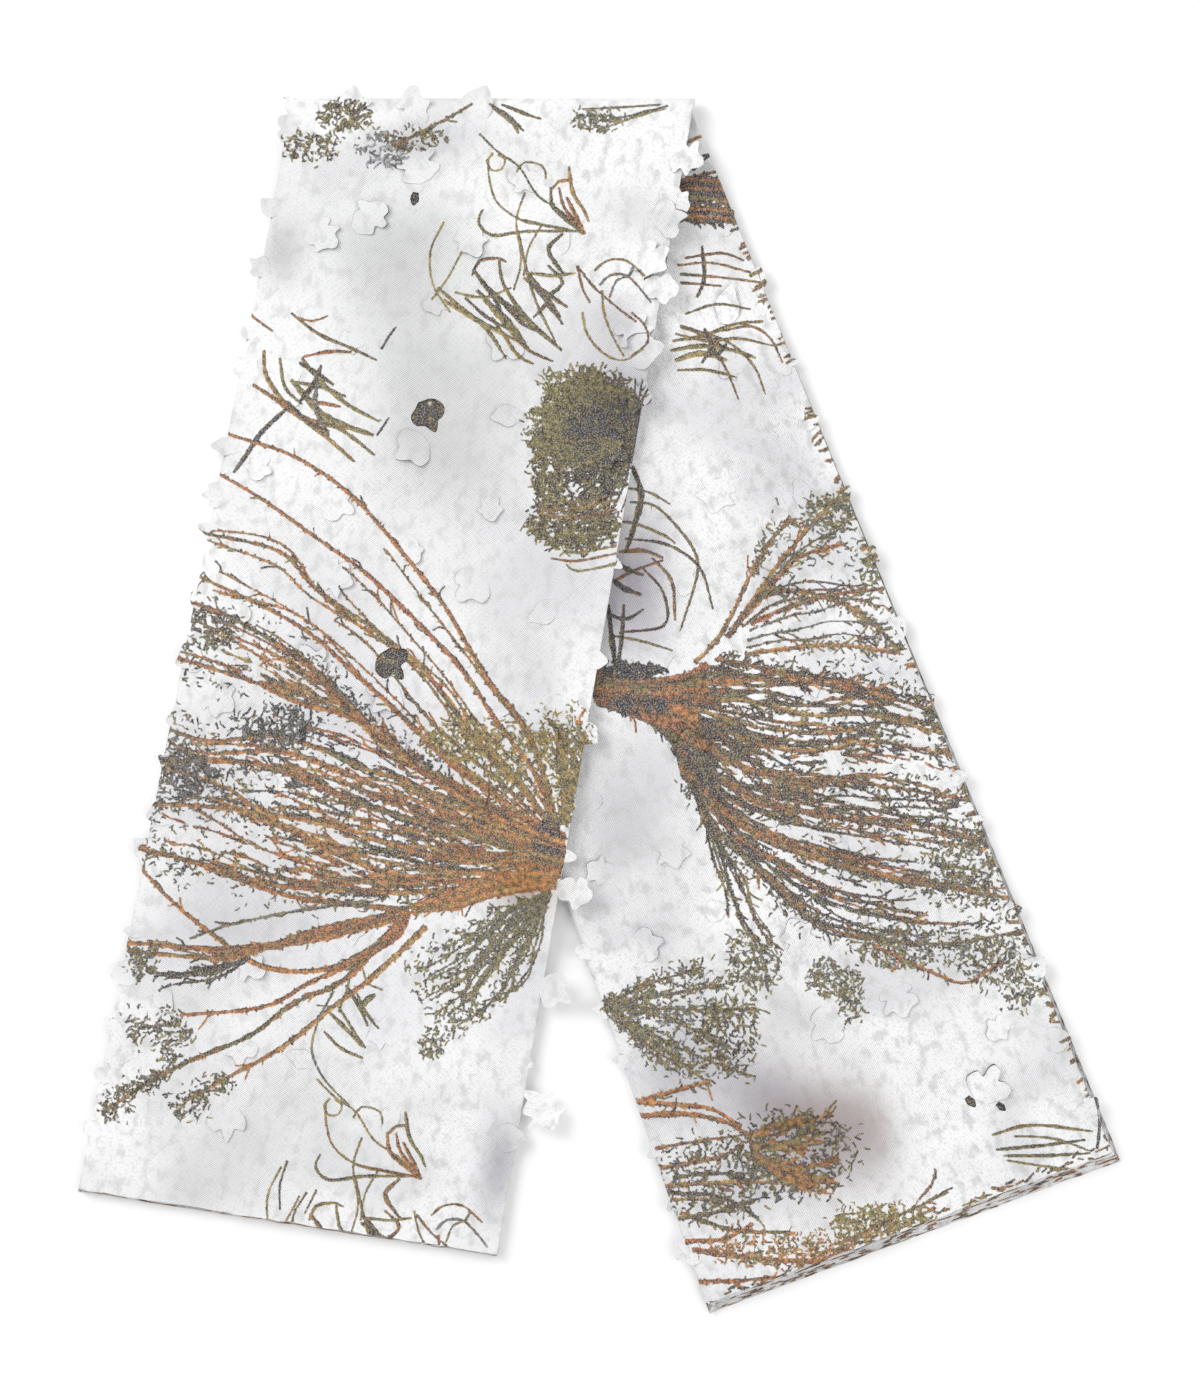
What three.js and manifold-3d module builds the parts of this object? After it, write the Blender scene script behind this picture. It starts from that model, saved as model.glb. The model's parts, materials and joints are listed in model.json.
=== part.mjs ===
// A length of die-cut leafy winter camouflage cloth, folded for storage into a flat bundle.
//
// The cloth is folded in four across its width and in two along its length, which makes a strip of
// eight plies. The strip is then folded over once more at a slant, so two legs hang from one top
// crease like an upside-down V. The front leg lies on the back leg near the crease and drops to the
// floor beside it. Leaves are die-cut out of the cloth and stay joined at a narrow root, where they lift.
//
// Millimetres, +Z up. The cloth lies flat: X runs across, +Y points to the top crease, and the
// origin is on the floor under the middle of the bundle.

import * as THREE from "three";
import { mergeVertices } from "three/addons/utils/BufferGeometryUtils.js";
import Module from "manifold-3d";

const wasm = await Module();
wasm.setup();

// Cloth and plies
const PLY_COUNT = 8; // plies in each leg: four panels, doubled
const PLY_THICKNESS = 0.9; // one ply with the loft of its leaves
const PLY_GAP = 0.6; // air between two plies

// Top crease, where the strip folds over
const CREASE_LENGTH = 330; // from the left end to the right end
const CREASE_CLEARANCE = 0.3; // between the end of a ply and its bend

// Front leg: it leans to the left of straight down
const FRONT_OUTER_LEAN = 11.2; // degrees, left edge
const FRONT_INNER_LEAN = 9.7; // degrees, right edge
const FRONT_OUTER_LENGTH = 900;
const FRONT_INNER_LENGTH = 950;
const FRONT_END_STEP = 0.5; // each lower ply is this much longer

// Back leg: it leans to the right of straight down
const BACK_OUTER_LEAN = 22; // degrees, right edge
const BACK_INNER_LEAN = 19.2; // degrees, left edge, mostly under the front leg
const BACK_OUTER_LENGTH = 919;
const BACK_INNER_LENGTH = 1035;
const BACK_END_STEP = 1.4; // each lower ply is this much longer
const BACK_SIDE_STEP = 0.7; // each lower ply is this much wider at its outer edge

// Where the front leg drops from the top of the back leg to the floor
const DRAPE_CLEARANCE = 2; // kept beyond the back leg's inner edge
const DRAPE_WIDTH = 45; // width of the slope
const DRAPE_STEPS = 6; // flat facets in the slope

// Die-cut leaves
const LEAF_THICKNESS = 0.6;
const LEAF_GAP = 0.4; // air under a leaf that lies on its leg
const LEAF_LENGTH = 34; // root to tip
const LEAF_WIDTH = 36; // across the widest lobes
const LEAF_ROOT_WIDTH = 9; // uncut neck that holds the leaf

// Leaves by leg: share across the leg from its left edge, share down it, and the way that the leaf
// points, in degrees from +X
const FRONT_LEAVES = [
  { name: "leaf_flap_1", across: 0.37, down: 0.065, heading: 115 },
  { name: "leaf_flap_2", across: 0.22, down: 0.11, heading: 40 },
  { name: "leaf_flap_3", across: 0.49, down: 0.296, heading: 215 },
  { name: "leaf_flap_4", across: 0.9, down: 0.355, heading: 75 },
  { name: "leaf_flap_5", across: 0.33, down: 0.515, heading: 110 },
  { name: "leaf_flap_6", across: 0.52, down: 0.515, heading: 235 },
  { name: "leaf_flap_7", across: 0.3, down: 0.58, heading: 95 },
];
const BACK_LEAVES = [
  { name: "leaf_flap_8", across: 0.87, down: 0.2, heading: 80 },
  { name: "leaf_flap_9", across: 0.4, down: 0.58, heading: 100 },
  { name: "leaf_flap_10", across: 0.76, down: 0.92, heading: 70 },
];

// Worked out from the sizes above
const PLY_PITCH = PLY_THICKNESS + PLY_GAP;
const STACK_HEIGHT = PLY_COUNT * PLY_PITCH;
const CREASE_HEIGHT = STACK_HEIGHT - PLY_GAP / 2;
const CREASE_LEFT = new THREE.Vector2(-CREASE_LENGTH / 2, 0);
const CREASE_RIGHT = new THREE.Vector2(CREASE_LENGTH / 2, 0);
const FAR = 2 * Math.max(FRONT_INNER_LENGTH, BACK_INNER_LENGTH);

const clothMaterial = (name, color) =>
  new THREE.MeshStandardMaterial({ name, color, roughness: 0.85, metalness: 0 });
const FRONT_CLOTH = clothMaterial("front_cloth", 0xdedee0);
const BACK_CLOTH = clothMaterial("back_cloth", 0xd2d2d6);
const LEAF_CLOTH = clothMaterial("leaf_cloth", 0xf0f0f2);

// --- solids ------------------------------------------------------------------------------------

function toSolid(geometry) {
  const bare = geometry.clone();
  bare.deleteAttribute("normal");
  bare.deleteAttribute("uv");
  const merged = mergeVertices(bare, 1e-5);
  const mesh = new wasm.Mesh({
    numProp: 3,
    vertProperties: new Float32Array(merged.attributes.position.array),
    triVerts: new Uint32Array(merged.index.array),
  });
  return new wasm.Manifold(mesh);
}

function toGeometry(solid) {
  const mesh = solid.getMesh();
  const geometry = new THREE.BufferGeometry();
  geometry.setAttribute("position", new THREE.BufferAttribute(mesh.vertProperties, 3));
  geometry.setIndex(new THREE.BufferAttribute(mesh.triVerts, 1));
  geometry.computeVertexNormals();
  return geometry;
}

// An outline in the floor plan, raised to a prism between two heights
function prism(points, bottom, top) {
  const geometry = new THREE.ExtrudeGeometry(new THREE.Shape(points), {
    depth: top - bottom,
    bevelEnabled: false,
  });
  return geometry.translate(0, 0, bottom);
}

// --- the two legs in plan ----------------------------------------------------------------------

// The point at a distance down an edge that leaves the crease at a lean to the left of straight down
function alongEdge(start, leanDegrees, length) {
  const lean = THREE.MathUtils.degToRad(leanDegrees);
  return new THREE.Vector2(start.x - length * Math.sin(lean), start.y - length * Math.cos(lean));
}

// The corners of a leg in the order crease left, crease right, end right, end left
function frontCorners(extraLength) {
  return [
    CREASE_LEFT,
    CREASE_RIGHT,
    alongEdge(CREASE_RIGHT, FRONT_INNER_LEAN, FRONT_INNER_LENGTH + extraLength),
    alongEdge(CREASE_LEFT, FRONT_OUTER_LEAN, FRONT_OUTER_LENGTH + extraLength),
  ];
}

function backCorners(extraLength, extraWidth) {
  const outerEnd = alongEdge(CREASE_RIGHT, -BACK_OUTER_LEAN, BACK_OUTER_LENGTH + extraLength);
  return [
    CREASE_LEFT,
    CREASE_RIGHT,
    new THREE.Vector2(outerEnd.x + extraWidth, outerEnd.y),
    alongEdge(CREASE_LEFT, -BACK_INNER_LEAN, BACK_INNER_LENGTH + extraLength),
  ];
}

// The same outline with its crease end cut back, to leave room for the bends
function clearOfCrease(corners) {
  const [left, right, endRight, endLeft] = corners;
  const cutBack = (start, end) => {
    const share = CREASE_CLEARANCE / (start.y - end.y);
    return start.clone().lerp(end, share);
  };
  return [cutBack(left, endLeft), cutBack(right, endRight), endRight, endLeft];
}

// A point on a leg from its share across, left to right, and its share down from the crease
function onLeg(corners, across, down) {
  const [left, right, endRight, endLeft] = corners;
  const onLeft = left.clone().lerp(endLeft, down);
  const onRight = right.clone().lerp(endRight, down);
  return onLeft.lerp(onRight, across);
}

// --- the drop of the front leg beside the back leg -----------------------------------------------

const backInnerLean = THREE.MathUtils.degToRad(BACK_INNER_LEAN);
const acrossBackEdge = new THREE.Vector3(Math.cos(backInnerLean), Math.sin(backInnerLean), 0);
const downBackEdge = new THREE.Vector3(Math.sin(backInnerLean), -Math.cos(backInnerLean), 0);

// How far a plan point lies inside the back leg's inner edge; it is negative beside the back leg
function insideBackEdge(point) {
  const offset = point.clone().sub(CREASE_LEFT);
  return offset.x * acrossBackEdge.x + offset.y * acrossBackEdge.y;
}

// Height of the front leg's underside at a corner of the slope: step 0 is on the floor
const stepHeight = (step) => STACK_HEIGHT * THREE.MathUtils.smoothstep(step / DRAPE_STEPS, 0, 1);

// Height of the front leg's underside at that distance, on the slope's flat facets
function drapeHeight(inside) {
  const share = THREE.MathUtils.clamp((inside + DRAPE_CLEARANCE) / DRAPE_WIDTH + 1, 0, 1);
  const step = Math.min(Math.floor(share * DRAPE_STEPS), DRAPE_STEPS - 1);
  return THREE.MathUtils.lerp(stepHeight(step), stepHeight(step + 1), share * DRAPE_STEPS - step);
}

// One ply's section square to the back leg's inner edge, raised by its place in the stack
function drapedSection(lift) {
  const distances = [FAR];
  for (let step = DRAPE_STEPS; step >= 0; step -= 1) {
    distances.push(-DRAPE_CLEARANCE - DRAPE_WIDTH * (1 - step / DRAPE_STEPS));
  }
  distances.push(-FAR);
  const lower = distances.map((x) => new THREE.Vector2(x, drapeHeight(x) + lift));
  const upper = lower.map((p) => new THREE.Vector2(p.x, p.y + PLY_THICKNESS));
  return new THREE.Shape([...upper, ...lower.reverse()]);
}

// --- sub-parts ---------------------------------------------------------------------------------

function backPly(index) {
  const extra = PLY_COUNT - 1 - index;
  const corners = backCorners(extra * BACK_END_STEP, extra * BACK_SIDE_STEP);
  const bottom = index * PLY_PITCH;
  return prism(clearOfCrease(corners), bottom, bottom + PLY_THICKNESS);
}

function frontPly(index) {
  const extra = (PLY_COUNT - 1 - index) * FRONT_END_STEP;
  const outline = prism(clearOfCrease(frontCorners(extra)), -1, 3 * STACK_HEIGHT);
  const sheet = new THREE.ExtrudeGeometry(drapedSection(index * PLY_PITCH), {
    depth: 2 * FAR,
    bevelEnabled: false,
  });
  const up = new THREE.Vector3(0, 0, 1);
  const placed = new THREE.Matrix4().makeBasis(acrossBackEdge, up, downBackEdge);
  placed.setPosition(CREASE_LEFT.x - FAR * downBackEdge.x, CREASE_LEFT.y - FAR * downBackEdge.y, 0);
  sheet.applyMatrix4(placed);
  return toGeometry(toSolid(sheet).intersect(toSolid(outline)));
}

// The bend that carries one ply over the crease; the innermost is index 0
function creaseBend(index) {
  const inner = PLY_GAP / 2 + index * PLY_PITCH;
  const outer = inner + PLY_THICKNESS;
  const section = new THREE.Shape();
  section.absarc(0, 0, outer, -Math.PI / 2, Math.PI / 2, false);
  section.absarc(0, 0, inner, Math.PI / 2, -Math.PI / 2, true);
  const geometry = new THREE.ExtrudeGeometry(section, {
    depth: CREASE_LENGTH,
    curveSegments: 6 + index,
    bevelEnabled: false,
  });
  const alongX = new THREE.Matrix4().makeBasis(
    new THREE.Vector3(0, 1, 0),
    new THREE.Vector3(0, 0, 1),
    new THREE.Vector3(1, 0, 0),
  );
  alongX.setPosition(CREASE_LEFT.x, CREASE_LEFT.y, CREASE_HEIGHT);
  return geometry.applyMatrix4(alongX);
}

// A five-lobed leaf that grows along +Y from a root on the X axis
function leafOutline() {
  const root = LEAF_ROOT_WIDTH / 2;
  const half = LEAF_WIDTH / 2;
  const rightSide = [
    [root, 0],
    [half * 0.86, LEAF_LENGTH * 0.16],
    [half * 0.5, LEAF_LENGTH * 0.36],
    [half, LEAF_LENGTH * 0.62],
    [half * 0.4, LEAF_LENGTH * 0.66],
  ];
  const leftSide = rightSide.map(([x, y]) => [-x, y]).reverse();
  const points = [...rightSide, [0, LEAF_LENGTH], ...leftSide];
  return points.map(([x, y]) => new THREE.Vector2(x, y));
}

// Height of a leg's top face under a leaf: the highest place that the leaf covers
function seatHeight(isFront, root, turn) {
  const topPly = (PLY_COUNT - 1) * PLY_PITCH + PLY_THICKNESS;
  if (!isFront) {
    return topPly;
  }
  const origin = new THREE.Vector2(0, 0);
  const covered = leafOutline().map((p) => p.rotateAround(origin, turn).add(root));
  return topPly + Math.max(...covered.map((p) => drapeHeight(insideBackEdge(p))));
}

function leafMesh(leaf, isFront) {
  const corners = isFront ? frontCorners(0) : backCorners(0, 0);
  const root = onLeg(corners, leaf.across, leaf.down);
  const turn = THREE.MathUtils.degToRad(leaf.heading - 90);
  const mesh = new THREE.Mesh(prism(leafOutline(), 0, LEAF_THICKNESS), LEAF_CLOTH);
  mesh.name = leaf.name;
  mesh.position.set(root.x, root.y, seatHeight(isFront, root, turn) + LEAF_GAP);
  mesh.rotation.z = turn;
  return mesh;
}

// --- assembly ----------------------------------------------------------------------------------

function namedMesh(name, geometry, material) {
  const mesh = new THREE.Mesh(geometry, material);
  mesh.name = name;
  return mesh;
}

const backLeg = new THREE.Group();
const frontLeg = new THREE.Group();
const topCrease = new THREE.Group();
for (let index = 0; index < PLY_COUNT; index += 1) {
  const number = index + 1;
  backLeg.add(namedMesh(`back_ply_${number}`, backPly(index), BACK_CLOTH));
  frontLeg.add(namedMesh(`front_ply_${number}`, frontPly(index), FRONT_CLOTH));
  topCrease.add(namedMesh(`crease_bend_${number}`, creaseBend(index), FRONT_CLOTH));
}
for (const leaf of FRONT_LEAVES) {
  frontLeg.add(leafMesh(leaf, true));
}
for (const leaf of BACK_LEAVES) {
  backLeg.add(leafMesh(leaf, false));
}

const bundle = new THREE.Group();
bundle.add(backLeg, frontLeg, topCrease);

// The origin goes under the middle of the bundle
const middle = new THREE.Box3().setFromObject(bundle).getCenter(new THREE.Vector3());
bundle.position.set(-middle.x, -middle.y, 0);

const group = new THREE.Group();
group.add(bundle);

export default group;
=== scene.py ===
"""A folded length of die-cut leafy winter camouflage cloth, seen from straight above.

The cloth is one thin open-weave sheet, folded into a strip of eight plies and then over a top crease into
two legs. Each ply is cut out flat in plan with its die-cut leaves, and is then laid on its stack, rolled
round the side folds and turned over the crease. The print is drawn stroke over stroke on a raster of the
flat cloth, and the meshes' points carry it as colours. Lengths are in metres; the places and widths of the
strokes, and the roots of the leaves, are in millimetres in the object's own frame.
"""

import json
import math

import bpy
import numpy as np
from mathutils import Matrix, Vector
from mathutils.geometry import delaunay_2d_cdt

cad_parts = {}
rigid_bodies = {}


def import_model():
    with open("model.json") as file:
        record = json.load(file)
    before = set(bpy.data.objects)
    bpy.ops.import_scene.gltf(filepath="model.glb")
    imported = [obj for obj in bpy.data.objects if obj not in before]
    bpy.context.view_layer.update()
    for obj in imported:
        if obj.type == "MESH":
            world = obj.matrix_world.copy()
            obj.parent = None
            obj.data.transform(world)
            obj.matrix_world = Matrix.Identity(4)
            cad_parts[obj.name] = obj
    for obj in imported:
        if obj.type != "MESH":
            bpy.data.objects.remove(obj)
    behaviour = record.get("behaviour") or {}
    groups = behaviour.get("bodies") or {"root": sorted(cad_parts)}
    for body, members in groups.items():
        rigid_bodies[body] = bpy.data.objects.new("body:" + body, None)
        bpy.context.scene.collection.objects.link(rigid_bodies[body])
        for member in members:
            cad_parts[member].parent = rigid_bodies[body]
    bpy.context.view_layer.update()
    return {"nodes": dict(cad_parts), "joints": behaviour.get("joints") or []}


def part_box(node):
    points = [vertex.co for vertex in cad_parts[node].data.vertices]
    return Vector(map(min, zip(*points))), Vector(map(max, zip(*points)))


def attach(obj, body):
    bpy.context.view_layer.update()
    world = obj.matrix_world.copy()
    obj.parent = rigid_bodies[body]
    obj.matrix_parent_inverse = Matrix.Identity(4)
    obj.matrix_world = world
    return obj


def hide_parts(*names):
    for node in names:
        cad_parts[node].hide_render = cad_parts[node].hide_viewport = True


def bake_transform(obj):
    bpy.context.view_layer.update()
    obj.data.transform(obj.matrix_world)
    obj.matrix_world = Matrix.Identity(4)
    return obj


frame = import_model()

MM = 0.001
PLIES = 8

# Cloth
DROP_CLEARANCE = 2 * MM  # the front leg stays up this far beyond the back leg
DROP_WIDTH = 45 * MM  # width of the slope where it comes down to the floor
RELIEF = 2.4 * MM  # how far the top ply puffs up over the leaves inside
RELIEF_WAVES = ((0.7, 45 * MM, 160 * MM), (0.3, 14 * MM, 34 * MM))  # share, shortest and longest wave
PRESSED = 40 * MM  # width of the band beside the crease, and beside the leg on top, where the cloth is flat
SEAT = 26 * MM  # reach of the level place round a hinged leaf's root
GRID = 8 * MM  # spacing of the points that let a ply bend
LEG_REACH = 1.2  # more than a leg's length
HEM_STEP = 12 * MM
HEM_WAVER = 0.35 * MM
MARGIN = 8 * MM  # how far the raster of the print goes past the cloth
PAIR_FOLD = 0.75 * MM  # radius of a right-hand fold, between two plies
LEAF_LENGTH = 34 * MM
LEAF_WIDTH = 36 * MM
LEAF_ROOT = 9 * MM
LEAF_ABOVE = 0.5 * MM  # a hinged leaf's root lies this far above its ply
LEAF_STEP = 2.2 * MM  # spacing of the points along a leaf's cut
LEAF_UNEVEN = 0.07  # how far the points of a leaf's shape wander, in shares of its size
LEAF_CUP = 0.1  # rise of a leaf's sides
LEAF_SPACE = 40 * MM  # the least distance between the middles of two leaves
LEAF_INSET = 22 * MM  # the least distance of a scattered leaf from a side fold
LEAF_ROWS, LEAF_COLUMNS = 15, 5
LEAF_ROW = 64 * MM  # spacing of the rows
EDGE_TURN = 42  # most that a leaf at a side fold points away from straight out, in degrees
WEAVE_PITCH = 1.95 * MM
SNOW = (0.93, 0.93, 0.94, 1)
SNOW_GREY = (0.62, 0.62, 0.64, 1)
SNOW_GREEN = (0.5, 0.51, 0.49, 1)
# dark of the weave's pinholes: painted shade inside the holes
PORE_SHADE = (0.1, 0.095, 0.1, 1)

DOT = 0.42 * MM  # fineness of the raster that the print is laid on
DOT_STEP = 0.34 * MM  # spacing of the dots along and across a stroke
FAN_POINTS, GAP_POINTS = 40, 120  # points along a guide line
INK_DETAIL = 1.05 * MM  # spacing of the points that carry the print


# --- places taken from the frame ---------------------------------------------------------------------


def furthest(node, x, y):
    """The plan place of the CAD node's vertex that lies furthest along (x, y)."""
    places = np.array([v.co[:2] for v in frame["nodes"][node].data.vertices])
    return places[np.argmax(places @ np.array([x, y]))]


outer_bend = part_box("crease_bend_8")
CREASE_LEFT = np.array([outer_bend[0][0], outer_bend[0][1]])
CREASE_RIGHT = np.array([outer_bend[1][0], outer_bend[0][1]])
CREASE_Y = CREASE_LEFT[1]
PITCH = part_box("back_ply_2")[0][2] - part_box("back_ply_1")[0][2]
PLY_MIDDLE = (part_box("back_ply_1")[0][2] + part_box("back_ply_1")[1][2]) / 2
STACK = PLIES * PITCH
CREASE_Z = (outer_bend[0][2] + outer_bend[1][2]) / 2
NEST_MIDDLE = (PLY_MIDDLE + (PLIES - 1) * PITCH + PLY_MIDDLE) / 2
LEAF_JOINTS = {j["child"]: j for j in frame["joints"] if j["child"].startswith("leaf_")}


def unit(v):
    return v / np.linalg.norm(v)


def left_normal(v):
    return np.array([-v[1], v[0]])


def smooth_step(t):
    t = np.clip(t, 0, 1)
    return t * t * (3 - 2 * t)


def crossing(p, d, q, e):
    """Where the line through p along d meets the line through q along e."""
    t = np.linalg.solve(np.array([d, -e]).T, q - p)
    return p + d * t[0]


class Leg:
    """One leg in plan: which way it runs, the corners of each ply and its two long edges."""

    def __init__(self, name, ends):
        self.name = name
        self.ends = ends
        left, right = self.end_corners(PLIES)
        self.down = unit((left + right) / 2 - (CREASE_LEFT + CREASE_RIGHT) / 2)
        self.across = left_normal(self.down)

    def end_corners(self, ply):
        node = f"{self.name}_ply_{ply}"
        return furthest(node, *self.ends[0]), furthest(node, *self.ends[1])

    def edges(self, ply):
        """Start, direction and inward normal of the left and right edges."""
        left, right = self.end_corners(ply)
        down_left, down_right = unit(left - CREASE_LEFT), unit(right - CREASE_RIGHT)
        return (
            (CREASE_LEFT, down_left, left_normal(down_left)),
            (CREASE_RIGHT, down_right, -left_normal(down_right)),
        )


FRONT = Leg("front", ((-1.0, 0.0), (0.0, -1.0)))
BACK = Leg("back", ((0.0, -1.0), (1.0, 0.0)))
BACK_LEFT_EDGE = BACK.edges(PLIES)[0]
FRONT_RIGHT_EDGE = FRONT.edges(PLIES)[1]


def inside(edge, places):
    """Distance of places inside an edge; it is negative beyond it."""
    return (places - edge[0]) @ edge[2]


def base_height(leg, places):
    """Height of a leg's underside: the front leg lies on the back leg and drops to the floor beside it."""
    if leg is BACK:
        return np.zeros(len(places))
    return STACK * smooth_step((inside(BACK_LEFT_EDGE, places) + DROP_CLEARANCE) / DROP_WIDTH + 1)


def waves(places, seed, shortest, longest, count=9):
    """Smooth noise from 0 to 1 made of plane waves."""
    rng = np.random.default_rng(seed)
    total = np.zeros(len(places))
    for _ in range(count):
        angle, phase = rng.uniform(0, 2 * math.pi, 2)
        number = 2 * math.pi / rng.uniform(shortest, longest)
        total += np.sin(number * (places @ np.array([math.cos(angle), math.sin(angle)])) + phase)
    return 0.5 + 0.5 * np.tanh(total / math.sqrt(count))


def relief(leg, places):
    """Puffiness of the stack, which is pressed flat at the crease and where the other leg lies on it."""
    broad, fine_waves = RELIEF_WAVES
    puff = broad[0] * waves(places, 11 if leg is FRONT else 12, *broad[1:])
    puff += fine_waves[0] * waves(places, 21, *fine_waves[1:])
    puff *= smooth_step((CREASE_Y - places[:, 1]) / PRESSED)
    if leg is BACK:
        puff *= smooth_step((-inside(FRONT_RIGHT_EDGE, places) - 4 * MM) / PRESSED)
    puff = RELIEF * puff
    for joint in LEAF_JOINTS.values():
        if joint["parent"] == f"{leg.name}_leg":
            root = np.array(joint["pos_m"])
            near = np.exp(-(((places - root[:2]) ** 2).sum(axis=1)) / SEAT**2)
            seat = root[2] - LEAF_ABOVE - PLY_MIDDLE - (PLIES - 1) * PITCH
            seat -= base_height(leg, root[None, :2])[0]
            puff = puff * (1 - near) + max(seat, 0) * near
    return puff


def ply_height(leg, ply, places):
    return base_height(leg, places) + PLY_MIDDLE + (ply - 1) * PITCH + relief(leg, places) * ply / PLIES


def nest_radius(ply):
    """Radius of a ply's turn at the left-hand fold, where the plies nest in each other."""
    return abs(PLY_MIDDLE + (ply - 1) * PITCH - NEST_MIDDLE)


NEST_INSET = nest_radius(PLIES) + 0.4 * MM
PAIR_INSET = PAIR_FOLD + 0.4 * MM


def crease_radius(leg, ply):
    middle = PLY_MIDDLE + (ply - 1) * PITCH + (STACK if leg is FRONT else 0)
    return abs(middle - CREASE_Z)


def lay(leg, ply, places):
    """Takes flat plan places on a ply to 3-D, round its side folds and its bend at the crease."""
    left, right = leg.edges(ply)
    z = ply_height(leg, ply, places)
    plan = places.copy()
    for edge, inset, radius, turn in (
        (left, NEST_INSET, nest_radius(ply), -1 if ply > PLIES / 2 else 1),
        (right, PAIR_INSET, PAIR_FOLD, -1 if ply % 2 == 0 else 1),
    ):
        beyond = np.maximum(inset - inside(edge, places), 0)
        angle = np.minimum(beyond / radius, math.pi / 2)
        plan -= np.outer(radius * np.sin(angle) - beyond, edge[2])
        z += turn * radius * (1 - np.cos(angle))
    radius = crease_radius(leg, ply)
    over = np.maximum(places[:, 1] - CREASE_Y, 0)
    angle = np.minimum(over / radius, math.pi / 2)
    plan[:, 1] += radius * np.sin(angle) - over
    z += (-1 if leg is FRONT else 1) * radius * (1 - np.cos(angle))
    return np.column_stack([plan, z])


def ply_outline(leg, ply):
    """A ply's flat cut in plan, with what goes round its folds and over the crease."""
    left, right = leg.edges(ply)
    turn = math.pi / 2
    left_start = left[0] + left[2] * (NEST_INSET - turn * nest_radius(ply))
    right_start = right[0] + right[2] * (PAIR_INSET - turn * PAIR_FOLD)
    end_left, end_right = leg.end_corners(ply)
    along_end = unit(end_right - end_left)
    top = np.array([0.0, CREASE_Y + turn * crease_radius(leg, ply)])
    level = np.array([1.0, 0.0])
    corners = [
        crossing(left_start, left[1], end_left, along_end),
        crossing(right_start, right[1], end_left, along_end),
        crossing(right_start, right[1], top, level),
        crossing(left_start, left[1], top, level),
    ]
    rng = np.random.default_rng(500 + ply)
    count = int(np.linalg.norm(corners[1] - corners[0]) / HEM_STEP)
    hem = [corners[0] + (corners[1] - corners[0]) * i / count for i in range(1, count)]
    hem = [p + leg.down * rng.normal(0, HEM_WAVER) for p in hem]

    def between(a, b):
        steps = int(np.linalg.norm(b - a) / GRID)
        return [a + (b - a) * i / steps for i in range(1, steps)]

    sides = [corners[1], *between(*corners[1:3]), corners[2], *between(*corners[2:]), corners[3]]
    return [corners[0], *hem, *sides, *between(corners[3], corners[0])]


def fold_rows(leg, ply, spacing):
    """Rows of points along the folds and the crease, close enough to make them round."""
    left, right = leg.edges(ply)
    rows = []
    for edge, inset, radius in ((left, NEST_INSET, nest_radius(ply)), (right, PAIR_INSET, PAIR_FOLD)):
        steps = np.arange(0.0, LEG_REACH, spacing)
        for angle in np.linspace(0, math.pi / 2, 5)[:-1]:
            start = edge[0] + edge[2] * (inset - radius * angle)
            rows.append(start + np.outer(steps, edge[1]))
    radius = crease_radius(leg, ply)
    xs = np.arange(CREASE_LEFT[0], CREASE_RIGHT[0], spacing)
    for angle in np.linspace(0, math.pi / 2, 6)[:-1]:
        rows.append(np.column_stack([xs, np.full(len(xs), CREASE_Y + radius * angle)]))
    return np.concatenate(rows)


# --- die-cut leaves ----------------------------------------------------------------------------------

LEAF_SHAPES = {  # right-hand side of each outline, root to tip, in shares of half the width and of the length
    "maple": [(0.8, 0.14), (0.92, 0.26), (0.52, 0.4), (0.86, 0.52), (0.98, 0.66), (0.46, 0.7), (0.3, 0.86)],
    "wing": [(0.6, 0.1), (0.98, 0.3), (1.0, 0.5), (0.72, 0.66), (0.34, 0.62), (0.3, 0.8)],
    "oak": [(0.55, 0.16), (0.66, 0.3), (0.4, 0.4), (0.84, 0.52), (0.8, 0.66), (0.44, 0.7), (0.4, 0.88)],
    "spear": [(0.42, 0.2), (0.62, 0.36), (0.58, 0.56), (0.34, 0.7), (0.24, 0.86)],
    "tooth": [(0.75, 0.05), (0.96, 0.3), (0.8, 0.56), (0.42, 0.78), (0.2, 0.92)],
}


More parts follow.
